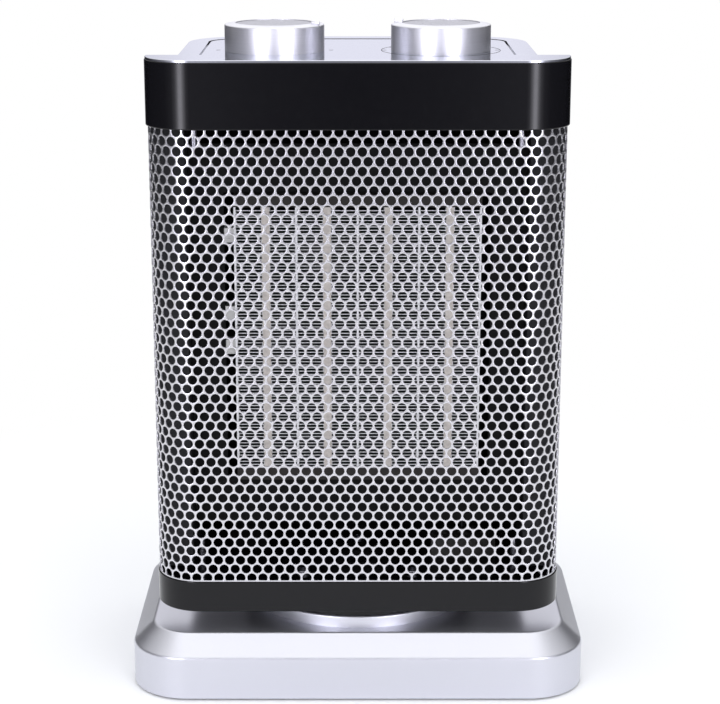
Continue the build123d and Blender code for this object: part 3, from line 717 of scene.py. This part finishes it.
def make_surface(slot):
    table = finish_table()
    if slot not in table:
        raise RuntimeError(f"no finish is defined for the slot {slot}")
    kind, base, *values = table[slot]
    return kind(slot + "_finish", tuple(base), *values)


def surface(slot):
    return bpy.data.materials.get(slot + "_finish") or make_surface(slot)


def stage_finish(name, base, fade_start, fade_end):
    """Matt white that fades to the plain white background away from the object."""
    finish = Finish(name, base, 0.0, 0.85)
    length = finish.node("ShaderNodeVectorMath", operation="LENGTH")
    finish.link(finish.place, length.inputs[0])
    fade = finish.ramp(length.outputs["Value"], 0.0, 1.0, fade_start, fade_end)
    path = finish.node("ShaderNodeLightPath").outputs
    seen = finish.work_out("MAXIMUM", path["Is Camera Ray"], path["Is Glossy Ray"])
    share = finish.work_out("MULTIPLY", seen, fade)
    glow = finish.feed("ShaderNodeEmission")
    lit = finish.shader.outputs["BSDF"]
    finish.show("Material Output", finish.feed("ShaderNodeMixShader", share, lit, glow))
    return finish.material


# The studio wall, from the front, 0, round to the back, 1: places and how bright it is there.
WALL_STEPS = (
    (0.0, 0.03), (0.028, 0.045), (0.056, 0.09), (0.085, 0.15), (0.12, 0.6), (0.145, 1.15),
    (0.172, 1.15), (0.198, 0.5), (0.225, 0.2), (0.27, 0.07), (0.36, 0.03), (0.54, 0.014),
    (0.7, 0.003), (0.83, 0.003), (0.9, 0.05), (0.955, 0.14), (1.0, 0.14),
)
WALL_TINT = (0.965, 0.955, 1.05)
WALL_STRENGTH = 6.5
# Higher up it is plain: low in front, high behind, with the change between start and stop.
HIGH_WALL = {"low": 0.1, "high": 0.2, "start": 0.75, "stop": 0.92}
HIGH_WALL_RISE = (0.42, 0.75)  # heights in metres between which the one takes over


def wall_finish(name):
    """Glow that changes with the direction from the front and with the height."""
    finish = Finish(name, (0, 0, 0))
    axes = finish.axes()
    back = finish.work_out("MULTIPLY", axes["Y"], -1.0)
    away = finish.work_out("ABSOLUTE", finish.work_out("ARCTAN2", axes["X"], back))
    share = finish.ramp(away, 0.0, 1.0, 0.0, math.pi)
    ramp = finish.node("ShaderNodeValToRGB")
    stops = ramp.color_ramp.elements
    stops[0].position, stops[1].position = 0.0, 1.0
    for place, _ in WALL_STEPS[1:-1]:
        stops.new(place)
    for stop, (_, level) in zip(stops, WALL_STEPS):
        stop.color = (*(level * part for part in WALL_TINT), 1.0)
    finish.link(share, ramp.inputs["Fac"])
    rise = finish.ramp(axes["Z"], 0.0, 1.0, *HIGH_WALL_RISE)
    colour_here = finish.blend(rise, ramp.outputs["Color"], finish.ramp(share, **HIGH_WALL))
    glow = finish.feed("ShaderNodeEmission", colour_here, WALL_STRENGTH)
    finish.show("Material Output", glow)
    return finish.material


LAMP_CENTRE = (0.0, 0.0, 0.14)
SENSOR = 36.0
PHOTO_WIDTH = 720.0
FOCAL_PIXELS = 1948.4
OPTIC_AXIS = 359.1  # the column of the photo that the camera looks straight along
CAMERA_PLACE = (-0.00006, -0.7982, 0.3396)
CAMERA_PITCH = 14.612
CAMERA_YAW = -0.0443


class HEATER_OT_stage(bpy.types.Operator):
    """Floor, lights, world and camera"""

    bl_idname = "heater.stage"
    bl_label = "Stage"

    def execute(self, context):
        self.make_floor()
        self.make_world(context)
        self.make_lamps()
        self.make_wall()
        self.make_camera(context)
        context.scene.view_settings.view_transform = "Standard"
        return {"FINISHED"}

    def make_floor(self):
        bpy.ops.mesh.primitive_plane_add(size=8.0, location=(0, 0, 0))
        floor = named("floor")
        white = stage_finish("floor_white", (0.95, 0.95, 0.95), fade_start=0.1, fade_end=0.38)
        floor.data.materials.append(white)

    def make_world(self, context):
        """Soft light on the object, plain white to the camera and in reflections."""
        world = bpy.data.worlds.new("studio")
        context.scene.world = world
        world.use_nodes = True
        sky = Nodes(world.node_tree)
        light = sky.tree.nodes["Background"]
        light.inputs["Color"].default_value = (0.93, 0.95, 1.0, 1.0)
        light.inputs["Strength"].default_value = 1.0
        white = sky.feed("ShaderNodeBackground", (1.0, 1.0, 1.0, 1.0))
        path = sky.node("ShaderNodeLightPath").outputs
        seen = sky.work_out("MAXIMUM", path["Is Camera Ray"], path["Is Glossy Ray"])
        seen = sky.work_out("MAXIMUM", seen, path["Is Transmission Ray"])
        mix = sky.feed("ShaderNodeMixShader", seen, light.outputs["Background"], white)
        sky.show("World Output", mix)

    def lamp(self, name, place, width, height, power):
        """Lamp that looks at the middle of the heater."""
        bpy.ops.object.light_add(type="AREA", location=place)
        lamp = named(name)
        lamp.data.shape = "RECTANGLE"
        lamp.data.size = width
        lamp.data.size_y = height
        lamp.data.energy = power
        aim = Vector(LAMP_CENTRE) - Vector(place)
        lamp.rotation_euler = aim.to_track_quat("-Z", "Y").to_euler()
        return lamp

    def make_lamps(self):
        self.lamp("overhead", (0.0, -0.2, 1.35), width=1.4, height=1.2, power=3.6)
        for name, side in (("key_left", -1), ("key_right", 1)):
            place = (side * 0.7, -1.3, 0.65)
            key = self.lamp(name, place, width=0.8, height=1.0, power=4.5)
            key.visible_glossy = False

    def make_wall(self):
        """Round studio wall that only reflections see, with two soft boxes and dark sides."""
        bpy.ops.mesh.primitive_cylinder_add(
            vertices=96, radius=1.1, depth=1.2, end_fill_type="NOTHING", location=(0, 0, 0.6)
        )
        wall = named("studio_wall")
        apply_place(wall)
        wall.data.materials.append(wall_finish("studio_wall"))
        wall.visible_camera = False
        wall.visible_diffuse = False
        wall.visible_shadow = False
        wall.visible_transmission = False

    def make_camera(self, context):
        """Camera found from the photo's own perspective."""
        data = bpy.data.cameras.new("camera")
        camera = bpy.data.objects.new("camera", data)
        context.scene.collection.objects.link(camera)
        data.sensor_width = SENSOR
        data.lens = SENSOR * FOCAL_PIXELS / PHOTO_WIDTH
        data.shift_x = (PHOTO_WIDTH / 2 - OPTIC_AXIS) / PHOTO_WIDTH
        data.clip_start = 0.05
        pitch = math.radians(CAMERA_PITCH)
        yaw = math.radians(CAMERA_YAW)
        forward = Vector((-math.sin(yaw) * math.cos(pitch), math.cos(yaw) * math.cos(pitch),
                          -math.sin(pitch)))
        camera.location = CAMERA_PLACE
        camera.rotation_mode = "QUATERNION"
        camera.rotation_quaternion = forward.to_track_quat("-Z", "Y")
        context.scene.camera = camera


class HEATER_OT_frame_finishes(bpy.types.Operator):
    """Gives every CAD node its finish"""

    bl_idname = "heater.frame_finishes"
    bl_label = "Frame finishes"

    def execute(self, context):
        for part in frame["record"]["subparts"]:
            node = frame["nodes"][part["node"]]
            for place in node.material_slots:
                place.material = surface(part["material_slot"])
        return {"FINISHED"}


class HEATER_OT_grille(bpy.types.Operator):
    """Punched sheet wrapped round the front and both corners"""

    bl_idname = "heater.grille"
    bl_label = "Grille"

    def execute(self, context):
        sizes = context.scene.heater_sizes
        low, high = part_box("front_grille")
        reach = self.reach(sizes, low, high)
        sheet = self.make_rows(sizes, low.z, high.z)
        self.trim(sheet, reach, low.z, high.z)
        sheet = join([sheet, self.make_hem(sizes, reach, low.z)], "punched_sheet")
        self.wrap(sheet, sizes, reach, low, high)
        settle(sheet, "heater", "grille_silver", "front_grille", angle=16)
        return {"FINISHED"}

    def make_tile(self, sizes):
        """One cell of the pattern: a squashed hexagon with a round hole and a rolled rim."""
        pitch = sizes.hole_pitch
        rise = sizes.row_pitch
        bpy.ops.mesh.primitive_circle_add(
            vertices=6, radius=pitch / math.sqrt(3), fill_type="NGON", rotation=(math.pi / 2, 0, 0)
        )
        tile = named("punched_sheet")
        apply_place(tile)
        open_mesh(tile, "EDGE")
        mark_all()
        bpy.ops.transform.resize(value=(1, 1, rise / (pitch * math.sqrt(0.75))))
        bpy.ops.mesh.subdivide(number_cuts=1)
        bpy.ops.mesh.duplicate()
        bpy.ops.transform.translate(value=(0, sizes.sheet, 0))
        radius = sizes.hole_width / 2
        self.ring(tile, sizes, lambda p, n: p.y > sizes.sheet / 2, radius)
        bpy.ops.mesh.delete(type="ONLY_FACE")
        self.ring(tile, sizes, lambda p, n: p.y < sizes.sheet / 2, radius + sizes.hole_rim)
        bpy.ops.mesh.inset(thickness=sizes.hole_rim)
        bpy.ops.transform.translate(value=(0, sizes.rim_depth, 0))
        bpy.ops.mesh.delete(type="ONLY_FACE")
        mark_edges(tile, lambda a, b: max(a.xz.length, b.xz.length) < radius + MERGE * 5)
        bpy.ops.mesh.bridge_edge_loops()
        close_mesh()
        return tile

    def ring(self, tile, sizes, test, radius):
        """Insets the chosen hexagon and rounds the inset to a radius."""
        mark_faces(tile, test)
        bpy.ops.mesh.inset(thickness=sizes.hole_pitch / 2 - radius)
        bpy.ops.transform.tosphere(value=1.0)
        mesh = bmesh.from_edit_mesh(tile.data)
        reach = [v.co.xz.length for v in mesh.verts if v.select]
        grow = radius / (sum(reach) / len(reach))
        bpy.ops.transform.resize(value=(grow, grow, grow))

    def make_rows(self, sizes, low, high):
        """Repeats the cell over a little more than the flat sheet."""
        pitch = sizes.hole_pitch
        rise = sizes.row_pitch
        columns = int(2 * sizes.blank_half / pitch) + SPARE_CELLS + 1
        pairs = int((high - low) / rise / 2) + SPARE_CELLS + 1
        row_below = int((sizes.row_start - low) / rise) + SPARE_CELLS
        row_below += row_below % 2
        tile = self.make_tile(sizes)
        repeat(tile, columns, (pitch, 0, 0))
        repeat(tile, 2, (pitch / 2, 0, rise))
        repeat(tile, pairs, (0, 0, 2 * rise))
        start = sizes.hole_shift - (columns // 2) * pitch
        tile.location = (start, 0, sizes.row_start - row_below * rise)
        apply_place(tile)
        return tile

    def trim(self, sheet, reach, low, high):
        open_mesh(sheet)
        for place, normal in (
            ((0, 0, high), (0, 0, 1)), ((0, 0, low), (0, 0, -1)),
            ((reach, 0, 0), (1, 0, 0)), ((-reach, 0, 0), (-1, 0, 0)),
        ):
            mark_all()
            bpy.ops.mesh.bisect(plane_co=place, plane_no=normal, clear_outer=True, use_fill=True)
        mark_all()
        bpy.ops.mesh.remove_doubles(threshold=MERGE)
        bpy.ops.mesh.normals_make_consistent(inside=False)
        close_mesh()

    def make_hem(self, sizes, reach, low):
        """Plain folded edge along the bottom of the sheet, still flat."""
        proud = sizes.hem_proud
        hem = block("hem", (-reach, -proud, low), (reach, sizes.sheet + proud, low + sizes.hem))
        open_mesh(hem, "EDGE")
        mark_edges(hem, lambda a, b: abs(a.x - b.x) > MM)
        bpy.ops.mesh.subdivide(number_cuts=HEM_CUTS)
        close_mesh()
        return hem

    def reach(self, sizes, low, high):
        """Half the length of the flat sheet before it is bent."""
        flat = high.x - sizes.grille_corner
        straight = high.y - (low.y + sizes.grille_corner)
        return flat + sizes.grille_corner * math.pi / 2 + straight

    def wrap(self, sheet, sizes, reach, low, high):
        """Bends the sheet along the outline of the front."""
        corner = sizes.grille_corner
        flat = high.x - corner
        right = [(high.x, high.y)]
        for step in range(GRILLE_CORNER_STEPS + 1):
            turn = math.pi / 2 * step / GRILLE_CORNER_STEPS
            right.append((flat + corner * math.cos(turn), low.y + corner - corner * math.sin(turn)))
        outline = [(-x, y) for x, y in right] + right[::-1]
        path = bpy.data.curves.new("grille_path", "CURVE")
        path.dimensions = "3D"
        path.twist_mode = "Z_UP"
        line = path.splines.new("POLY")
        line.points.add(len(outline) - 1)
        for point, (x, y) in zip(line.points, outline):
            point.co = (x, y, 0, 1)
        guide = bpy.data.objects.new("grille_path", path)
        bpy.context.scene.collection.objects.link(guide)
        sheet.location.x = reach
        apply_place(sheet)
        modify(sheet, "CURVE", object=guide, deform_axis="POS_X")
        bpy.data.objects.remove(guide)


class HEATER_OT_base(bpy.types.Operator):
    """Silver base shell with a rounded bevel"""

    bl_idname = "heater.base"
    bl_label = "Base"

    def execute(self, context):
        sizes = context.scene.heater_sizes
        low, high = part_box("base_housing")
        shoulder = high.z - sizes.bevel_rise
        shell = block("base_shell", low, (high.x, high.y, shoulder))
        round_uprights(shell, lambda p: True, sizes.base_corner, segments=20)
        open_mesh(shell)
        mark_faces(shell, lambda p, n: n.z > FACING)
        bpy.ops.mesh.inset(thickness=sizes.bevel_run)
        bpy.ops.transform.translate(value=(0, 0, sizes.bevel_rise))
        close_mesh()
        open_side(shell, low.z)
        for height in (shoulder, high.z):
            self.soften(shell, height, sizes.base_round)
        hollow(shell, sizes.base_wall)
        cut(shell, bar("hub_hole", sizes.hub, shoulder, high.z + sizes.wall, (0, 0), sides=64))
        settle(shell, "base", "base_silver", "base_housing", angle=40)
        return {"FINISHED"}

    def soften(self, shell, height, radius):
        """Rounds the ring of edges at one height."""
        def on_ring(a, b):
            return max(abs(a.z - height), abs(b.z - height)) < MERGE
        round_edges(shell, on_ring, radius, segments=6)


class HEATER_OT_swivel(bpy.types.Operator):
    """Raised disc on the base and the black collar that turns on it"""

    bl_idname = "heater.swivel"
    bl_label = "Swivel"

    def execute(self, context):
        self.make_disc(context.scene.heater_sizes)
        self.make_collar(context.scene.heater_sizes)
        return {"FINISHED"}

    def make_disc(self, sizes):
        low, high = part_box("swivel_disc")
        wall = sizes.base_wall
        foot = sizes.disc_radius
        rim = foot - sizes.disc_taper
        profile = [
            (sizes.hub, low.z), (sizes.hub, high.z), (rim, high.z), (foot, low.z),
            (foot - wall, low.z), (rim - wall, high.z - wall),
            (sizes.hub + wall, high.z - wall), (sizes.hub + wall, low.z),
        ]
        disc = turned("turntable_disc", profile, steps=128,
                      rounds=[(rim, high.z, sizes.disc_edge)])
        settle(disc, "base", "base_silver", "swivel_disc")

    def make_collar(self, sizes):
        low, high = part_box("swivel_collar")
        outer = high.x
        inner = outer - sizes.collar_wall
        profile = [
            (sizes.tube_radius, sizes.collar_web), (sizes.tube_radius, high.z), (outer, high.z),
            (outer, low.z), (inner, low.z), (inner, sizes.collar_web),
        ]
        collar = turned("body_collar", profile, steps=128, rounds=[(outer, low.z, sizes.edge)])
        settle(collar, "heater", "trim_black", "swivel_collar")


class HEATER_OT_bands(bpy.types.Operator):
    """Gloss black bands below and above the grille"""

    bl_idname = "heater.bands"
    bl_label = "Bands"

    def execute(self, context):
        sizes = context.scene.heater_sizes
        self.make_tray(sizes)
        self.make_cap(sizes)
        return {"FINISHED"}

    def band(self, sizes, name, node, opening):
        """Hollow body outline, open at one height."""
        band = body_block(name, node)
        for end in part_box(node):
            round_rim(band, end.z, sizes.edge)
        open_side(band, opening)
        hollow(band, sizes.wall)
        return band

    def make_tray(self, sizes):
        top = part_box("bottom_tray")[1].z
        band = self.band(sizes, "bottom_band", "bottom_tray", top)
        settle(band, "heater", "trim_black", "bottom_tray")

    def make_cap(self, sizes):
        low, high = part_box("top_cap")
        band = self.band(sizes, "top_band", "top_cap", low.z)
        for knob in KNOBS:
            cut(band, bar("control_hole", sizes.bush_radius, high.z - 2 * sizes.wall,
                          high.z + sizes.wall, middle(knob + "_shaft").xy))
        settle(band, "heater", "trim_black", "top_cap")


class HEATER_OT_top_plates(bpy.types.Operator):
    """Silver plates on top with the groove between them"""

    bl_idname = "heater.top_plates"
    bl_label = "Top plates"

    def execute(self, context):
        sizes = context.scene.heater_sizes
        self.make_panel(sizes)
        self.make_surround(sizes)
        self.make_groove_shade(sizes)
        return {"FINISHED"}

    def make_panel(self, sizes):
        low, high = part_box("control_panel")
        panel = rounded_front("knob_plate", high.x, low.y, sizes.ear_back - sizes.plate_margin,
                              front_corner(high), low.z, high.z)
        cut(panel, self.tongue(sizes, 0.0, low.z, high.z), "UNION")
        for knob in KNOBS:
            cut(panel, bar("bush_hole", sizes.bush_radius, low.z - MM, high.z + MM,
                           middle(knob + "_shaft").xy))
        round_rim(panel, high.z, sizes.plate_edge)
        settle(panel, "heater", "plate_silver", "control_panel")

    def make_surround(self, sizes):
        low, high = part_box("top_surround")
        surround = rounded_back("plate_surround", high.x, low.y, high.y,
                                sizes.rear_corner - sizes.plate_margin, low.z, high.z)
        cut(surround, self.tongue(sizes, sizes.groove, low.z - MM, high.z + MM))
        round_rim(surround, high.z, sizes.plate_edge)
        settle(surround, "heater", "plate_silver", "top_surround")

    def make_groove_shade(self, sizes):
        """Dark strip against the groove's outer wall: painted shade in the groove."""
        low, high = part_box("top_surround")
        top = high.z + sizes.groove_shade_rise
        front = sizes.tongue_back - sizes.tongue_corner
        line = self.tongue(sizes, sizes.groove, low.z, top, "groove_line", front)
        open_side(line, low.z)
        open_side(line, top)
        open_front(line, front)
        hollow(line, sizes.print_thick * 2)
        settle(line, "heater", "shell_black")

    def tongue(self, sizes, grow, low, high, name="tongue", front=None):
        """Block with the outline of the knob plate's narrower back part."""
        if front is None:
            front = sizes.ear_back - sizes.wall
        return rounded_back(name, sizes.tongue_half + grow, front, sizes.tongue_back + grow,
                            sizes.tongue_corner + grow, low, high)


class HEATER_OT_knobs(bpy.types.Operator):
    """Two turned knobs with a bright rim, a dished top and a pointer"""

    bl_idname = "heater.knobs"
    bl_label = "Knobs"

    def execute(self, context):
        sizes = context.scene.heater_sizes
        for body, turn in zip(KNOBS, (sizes.power_pointer, sizes.heat_pointer)):
            self.make_knob(sizes, body, turn)
        return {"FINISHED"}

    def make_knob(self, sizes, body, turn):
        centre = middle(body + "_shaft").xy
        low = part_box(body)[0].z - sizes.knob_drop
        top = low + sizes.knob_drop + sizes.knob_height
        dish = sizes.knob_radius - sizes.knob_rim
        edge = top - sizes.knob_slope
        floor = top - sizes.dish_depth
        skin = floor - sizes.knob_wall
        inner = sizes.knob_radius - sizes.knob_wall
        profile = [
            (sizes.shaft_radius, low + sizes.knob_wall), (sizes.knob_hub, low + sizes.knob_wall),
            (sizes.knob_hub, skin), (inner, skin), (inner, low), (sizes.knob_radius, low),
            (sizes.knob_radius, edge), (dish, top), (dish, floor), (0, floor), (0, skin),
            (sizes.shaft_radius, skin),
        ]
        rounds = [(sizes.knob_radius, edge, sizes.knob_edge), (dish, top, sizes.edge / 2)]
        knob = turned(body + "_shell", profile, centre, steps=128, rounds=rounds)
        settle(knob, body, "knob_silver", body, angle=35)
        self.make_inlay(sizes, body, centre, dish - sizes.plate_margin, floor)
        self.make_pointer(sizes, body, turn, centre, top)

    def make_inlay(self, sizes, body, centre, radius, floor):
        """Thin disc sunk a little into the floor of the dish."""
        low, high = floor - sizes.print_thick, floor + sizes.plate_edge
        profile = [(0, low), (radius, low), (radius, high), (0, high)]
        rounds = [(radius, high, sizes.print_thick)]
        inlay = turned(body + "_inlay", profile, centre, rounds=rounds)
        settle(inlay, body, "bright_steel")

    def make_pointer(self, sizes, body, turn, centre, top):
        half = sizes.pointer_width / 2
        outer = sizes.knob_radius - sizes.plate_margin
        pointer = block(body + "_pointer", (outer - sizes.pointer_length, -half, top - half),
                        (outer, half, top + sizes.pointer_height))
        modify(pointer, "BEVEL", width=half / 2, segments=3, limit_method="ANGLE")
        pointer.rotation_euler.z = turn
        pointer.location = (*centre, 0)
        settle(pointer, body, "knob_silver")


class HEATER_OT_dial_print(bpy.types.Operator):
    """Printed ring round the right knob and plain ticks round both"""

    bl_idname = "heater.dial_print"
    bl_label = "Dial print"

    def execute(self, context):
        sizes = context.scene.heater_sizes
        counts = context.scene.heater_counts
        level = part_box("control_panel")[1].z
        low, high = level - sizes.print_thick / 2, level + sizes.print_thick
        power, heat = (middle(knob).xy for knob in KNOBS)
        inner, outer = sizes.ring_radius, sizes.ring_radius + sizes.ring_line
        profile = [(inner, low), (outer, low), (outer, high), (inner, high)]
        parts = [turned("dial_print", profile, heat)]
        for centre, count in ((power, counts.power_ticks), (heat, counts.heat_ticks)):
            for index in range(count):
                turn = math.pi * index / (count - 1)
                parts.append(self.tick(sizes, centre, turn, low, high))
        settle(join(parts, "dial_print"), "heater", "shell_black")
        return {"FINISHED"}

    def tick(self, sizes, centre, turn, low, high):
        outer = sizes.ring_radius - sizes.ring_line
        tick = block("tick", (outer - sizes.tick_length, -sizes.ring_line, low),
                     (outer, sizes.ring_line, high))
        tick.rotation_euler.z = turn
        tick.location = (*centre, 0)
        apply_place(tick)
        return tick


class HEATER_OT_rear_shell(bpy.types.Operator):
    """Black back shell with the air intake, and the two ears behind the grille"""

    bl_idname = "heater.rear_shell"
    bl_label = "Rear shell"

    def execute(self, context):
        sizes = context.scene.heater_sizes
        low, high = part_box("rear_housing")
        front = sizes.ear_back - sizes.wall
        shell = rounded_back("back_shell", sizes.rear_half, front, high.y, sizes.rear_corner,
                             low.z, high.z)
        open_side(shell, low.z)
        open_side(shell, high.z)
        open_front(shell, front)
        hollow(shell, sizes.wall)
        for side in (-1, 1):
            near = side * (sizes.rear_half - sizes.wall / 2)
            far = side * high.x
            ear = block("ear", (min(near, far), front, low.z),
                        (max(near, far), sizes.ear_back, high.z))
            cut(shell, ear, "UNION")
        cut(shell, self.slot_tool(sizes, context.scene.heater_counts.slot_rows, high.y))
        gland = bar("gland_hole", sizes.gland_radius, -2 * sizes.wall, 2 * sizes.wall, (0, 0))
        lay_down(gland, (0, high.y, sizes.gland_height))
        cut(shell, gland)
        settle(shell, "heater", "shell_black", "rear_housing")
        return {"FINISHED"}

    def slot_tool(self, sizes, rows, back):
        """All the slots as one cutter with rounded ends."""
        half = sizes.slot_height / 2
        side = (sizes.slot_width + sizes.slot_middle) / 2
        first = sizes.core_middle - (rows - 1) * sizes.slot_pitch / 2
        near, far = side - sizes.slot_width / 2, side + sizes.slot_width / 2
        tool = block("slot_tool", (near, back - 2 * sizes.wall, first - half),
                     (far, back + sizes.wall, first + half))
        round_edges(tool, lambda a, b: abs(a.y - b.y) > MM, half * SLOT_ROUNDING,
                    segments=5)
        repeat(tool, rows, (0, 0, sizes.slot_pitch), merged=False)
        modify(tool, "MIRROR")
        return tool


class HEATER_OT_gland(bpy.types.Operator):
    """Gland with two flanges where the mains lead comes in"""

    bl_idname = "heater.gland"
    bl_label = "Cord gland"

    def execute(self, context):
        sizes = context.scene.heater_sizes
        low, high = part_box("cord_gland")
        length = high.y - low.y
        thick = sizes.flange_thick
        profile = [
            (sizes.gland_bore, 0), (sizes.gland_flange, 0), (sizes.gland_flange, thick),
            (sizes.gland_radius, thick), (sizes.gland_radius, length - thick),
            (sizes.gland_flange, length - thick), (sizes.gland_flange, length),
            (sizes.gland_bore, length),
        ]
        rounds = [(sizes.gland_flange, 0, sizes.edge), (sizes.gland_bore, 0, sizes.edge)]
        gland = turned("lead_gland", profile, steps=64, rounds=rounds)
        lay_down(gland, (0, high.y, sizes.gland_height))
        settle(gland, "heater", "foot_rubber", "cord_gland")
        return {"FINISHED"}


class HEATER_OT_fins(bpy.types.Operator):
    """Fine folded fins on both sides of every ceramic strip"""

    bl_idname = "heater.fins"
    bl_label = "Heating fins"

    def execute(self, context):
        sizes = context.scene.heater_sizes
        units = context.scene.heater_counts.core_units
        low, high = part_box("ptc_fins")
        strips = axes_of(loose_parts("ptc_ceramic_strips"))
        if len(strips) != units:
            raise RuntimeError(f"the core has {len(strips)} strips and not {units}")
        near = sizes.strip_half
        far = near + sizes.fin_width
        folds = int((high.z - low.z) / sizes.fin_pitch / 2)
        rise = (high.z - low.z - sizes.fin_sheet) / folds / 2
        start = low.z + sizes.fin_sheet / 2
        points = [(near, low.y, start), (far, low.y, start), (far, low.y, start + rise),
                  (near, low.y, start + rise), (near, low.y, start + 2 * rise)]
        ribbon = profile_line("folded_fins", points)
        mark_all()
        bpy.ops.mesh.extrude_region_move(TRANSFORM_OT_translate={"value": (0, high.y - low.y, 0)})
        close_mesh()
        repeat(ribbon, folds, (0, 0, 2 * rise))
        modify(ribbon, "SOLIDIFY", thickness=sizes.fin_sheet, offset=0.0)
        modify(ribbon, "MIRROR", use_mirror_merge=False)
        ribbon = copies(ribbon, [(place[0], 0, 0) for place in strips])
        settle(ribbon, "heater", "fin_aluminium", "ptc_fins", angle=20)
        return {"FINISHED"}


class HEATER_OT_fan(bpy.types.Operator):
    """Fan with twisted blades on a rounded hub"""

    bl_idname = "heater.fan"
    bl_label = "Fan"

    def execute(self, context):
        sizes = context.scene.heater_sizes
        blades = context.scene.heater_counts.fan_blades
        low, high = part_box("fan_impeller")
        half = (high.y - low.y) / 2
        profile = [(0, -half), (sizes.fan_hub, -half), (sizes.fan_hub, half), (0, half)]
        hub = turned("air_fan", profile, steps=64, rounds=[(sizes.fan_hub, half, 2 * sizes.edge)])
        lay_down(hub, (0, 0, 0))
        for index in range(blades):
            blade = self.make_blade(sizes, half)
            blade.rotation_euler.y = index * 2 * math.pi / blades
            apply_place(blade)
            cut(hub, blade, "UNION")
        hub.location = (0, (low.y + high.y) / 2, sizes.core_middle)
        settle(hub, "fan", "inner_black", "fan_impeller")
        return {"FINISHED"}

    def make_blade(self, sizes, half):
        """Twisted plate, trimmed to the fan's round outline and depth."""
        chord = half * BLADE_CHORD
        thick = sizes.blade_thick / 2
        blade = block("blade", (sizes.fan_hub - sizes.blade_root, -chord, -thick),
                      (sizes.fan_radius + MM, chord, thick))
        open_mesh(blade)
        mark_all()
        bpy.ops.mesh.subdivide(number_cuts=8)
        close_mesh()
        blade.rotation_euler.x = sizes.blade_pitch
        apply_place(blade)
        modify(blade, "SIMPLE_DEFORM", deform_method="TWIST", angle=sizes.blade_twist,
               deform_axis="X")
        limit = bar("limit", sizes.fan_radius, MERGE - half, half - MERGE, (0, 0), sides=96)
        lay_down(limit, (0, 0, 0))
        cut(blade, limit, "INTERSECT")
        return blade


class HEATER_OT_feet(bpy.types.Operator):
    """Rubber feet with a rounded sole"""

    bl_idname = "heater.feet"
    bl_label = "Feet"

    def execute(self, context):
        sizes = context.scene.heater_sizes
        places = axes_of(loose_parts("rubber_feet"))
        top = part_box("rubber_feet")[1].z
        profile = [(0, 0), (sizes.foot_radius, 0), (sizes.foot_radius, top), (0, top)]
        foot = turned("soft_feet", profile, steps=40, rounds=[(sizes.foot_radius, 0, sizes.edge)])
        settle(copies(foot, places), "base", "foot_rubber", "rubber_feet")
        return {"FINISHED"}


class HEATER_OT_screws(bpy.types.Operator):
    """Pan head screws with a cross recess in place of the plain ones"""

    bl_idname = "heater.screws"
    bl_label = "Screws"

    def execute(self, context):
        for node, body, up in (
            ("base_screws", "base", False), ("tray_screws", "heater", False),
            ("cap_screws", "heater", True), ("collar_screws", "heater", True),
            ("swing_motor_screws", "base", True),
        ):
            self.replace(context.scene.heater_sizes, node, body, up)
        return {"FINISHED"}

    def replace(self, sizes, node, body, up):
        parts = loose_parts(node)
        screw = self.make_screw(sizes, "cross_" + node, *parts[0], up)
        settle(copies(screw, axes_of(parts)), body, "bright_steel", node)

    def make_screw(self, sizes, name, low, high, up):
        """Screw between two heights on the upright axis through the origin."""
        head = (high.x - low.x) / 2
        shank = thick = head * SCREW_SHANK
        outward = 1 if up else -1
        face, tip = (high.z, low.z) if up else (low.z, high.z)
        neck = face - outward * thick
        profile = [(0, tip), (shank, tip), (shank, neck), (head, neck), (head, face), (0, face)]
        screw = turned(name, profile[::outward], steps=24,
                       rounds=[(head, face, thick * SCREW_ROUNDING)])
        half = sizes.screw_recess / 2
        reach = head * SCREW_RECESS_REACH
        deep = thick * SCREW_RECESS_DEPTH
        for wide, long in ((half, reach), (reach, half)):
            cut(screw, block("recess", (-wide, -long, face - deep), (wide, long, face + deep)))
        return screw


class HEATER_PT_panel(bpy.types.Panel):
    """Lists the steps that build the heater"""

    bl_label = "Fan heater"
    bl_idname = "HEATER_PT_panel"
    bl_space_type = "VIEW_3D"
    bl_region_type = "UI"
    bl_category = "Fan heater"

    def draw(self, context):
        for step in steps:
            self.layout.operator(step.bl_idname)


steps = (
    HEATER_OT_stage,
    HEATER_OT_frame_finishes,
    HEATER_OT_grille,
    HEATER_OT_base,
    HEATER_OT_swivel,
    HEATER_OT_bands,
    HEATER_OT_top_plates,
    HEATER_OT_knobs,
    HEATER_OT_dial_print,
    HEATER_OT_rear_shell,
    HEATER_OT_gland,
    HEATER_OT_fins,
    HEATER_OT_fan,
    HEATER_OT_feet,
    HEATER_OT_screws,
)

classes = (HeaterSizes, HeaterCounts, HeaterColours, *steps, HEATER_PT_panel)


def register():
    for kind in classes:
        bpy.utils.register_class(kind)
    bpy.types.Scene.heater_sizes = bpy.props.PointerProperty(type=HeaterSizes)
    bpy.types.Scene.heater_counts = bpy.props.PointerProperty(type=HeaterCounts)
    bpy.types.Scene.heater_colours = bpy.props.PointerProperty(type=HeaterColours)


def unregister():
    del bpy.types.Scene.heater_colours
    del bpy.types.Scene.heater_counts
    del bpy.types.Scene.heater_sizes
    for kind in reversed(classes):
        bpy.utils.unregister_class(kind)


def main():
    register()
    for step in steps:
        group, name = step.bl_idname.split(".")
        getattr(getattr(bpy.ops, group), name)()


if __name__ == "__main__":
    main()
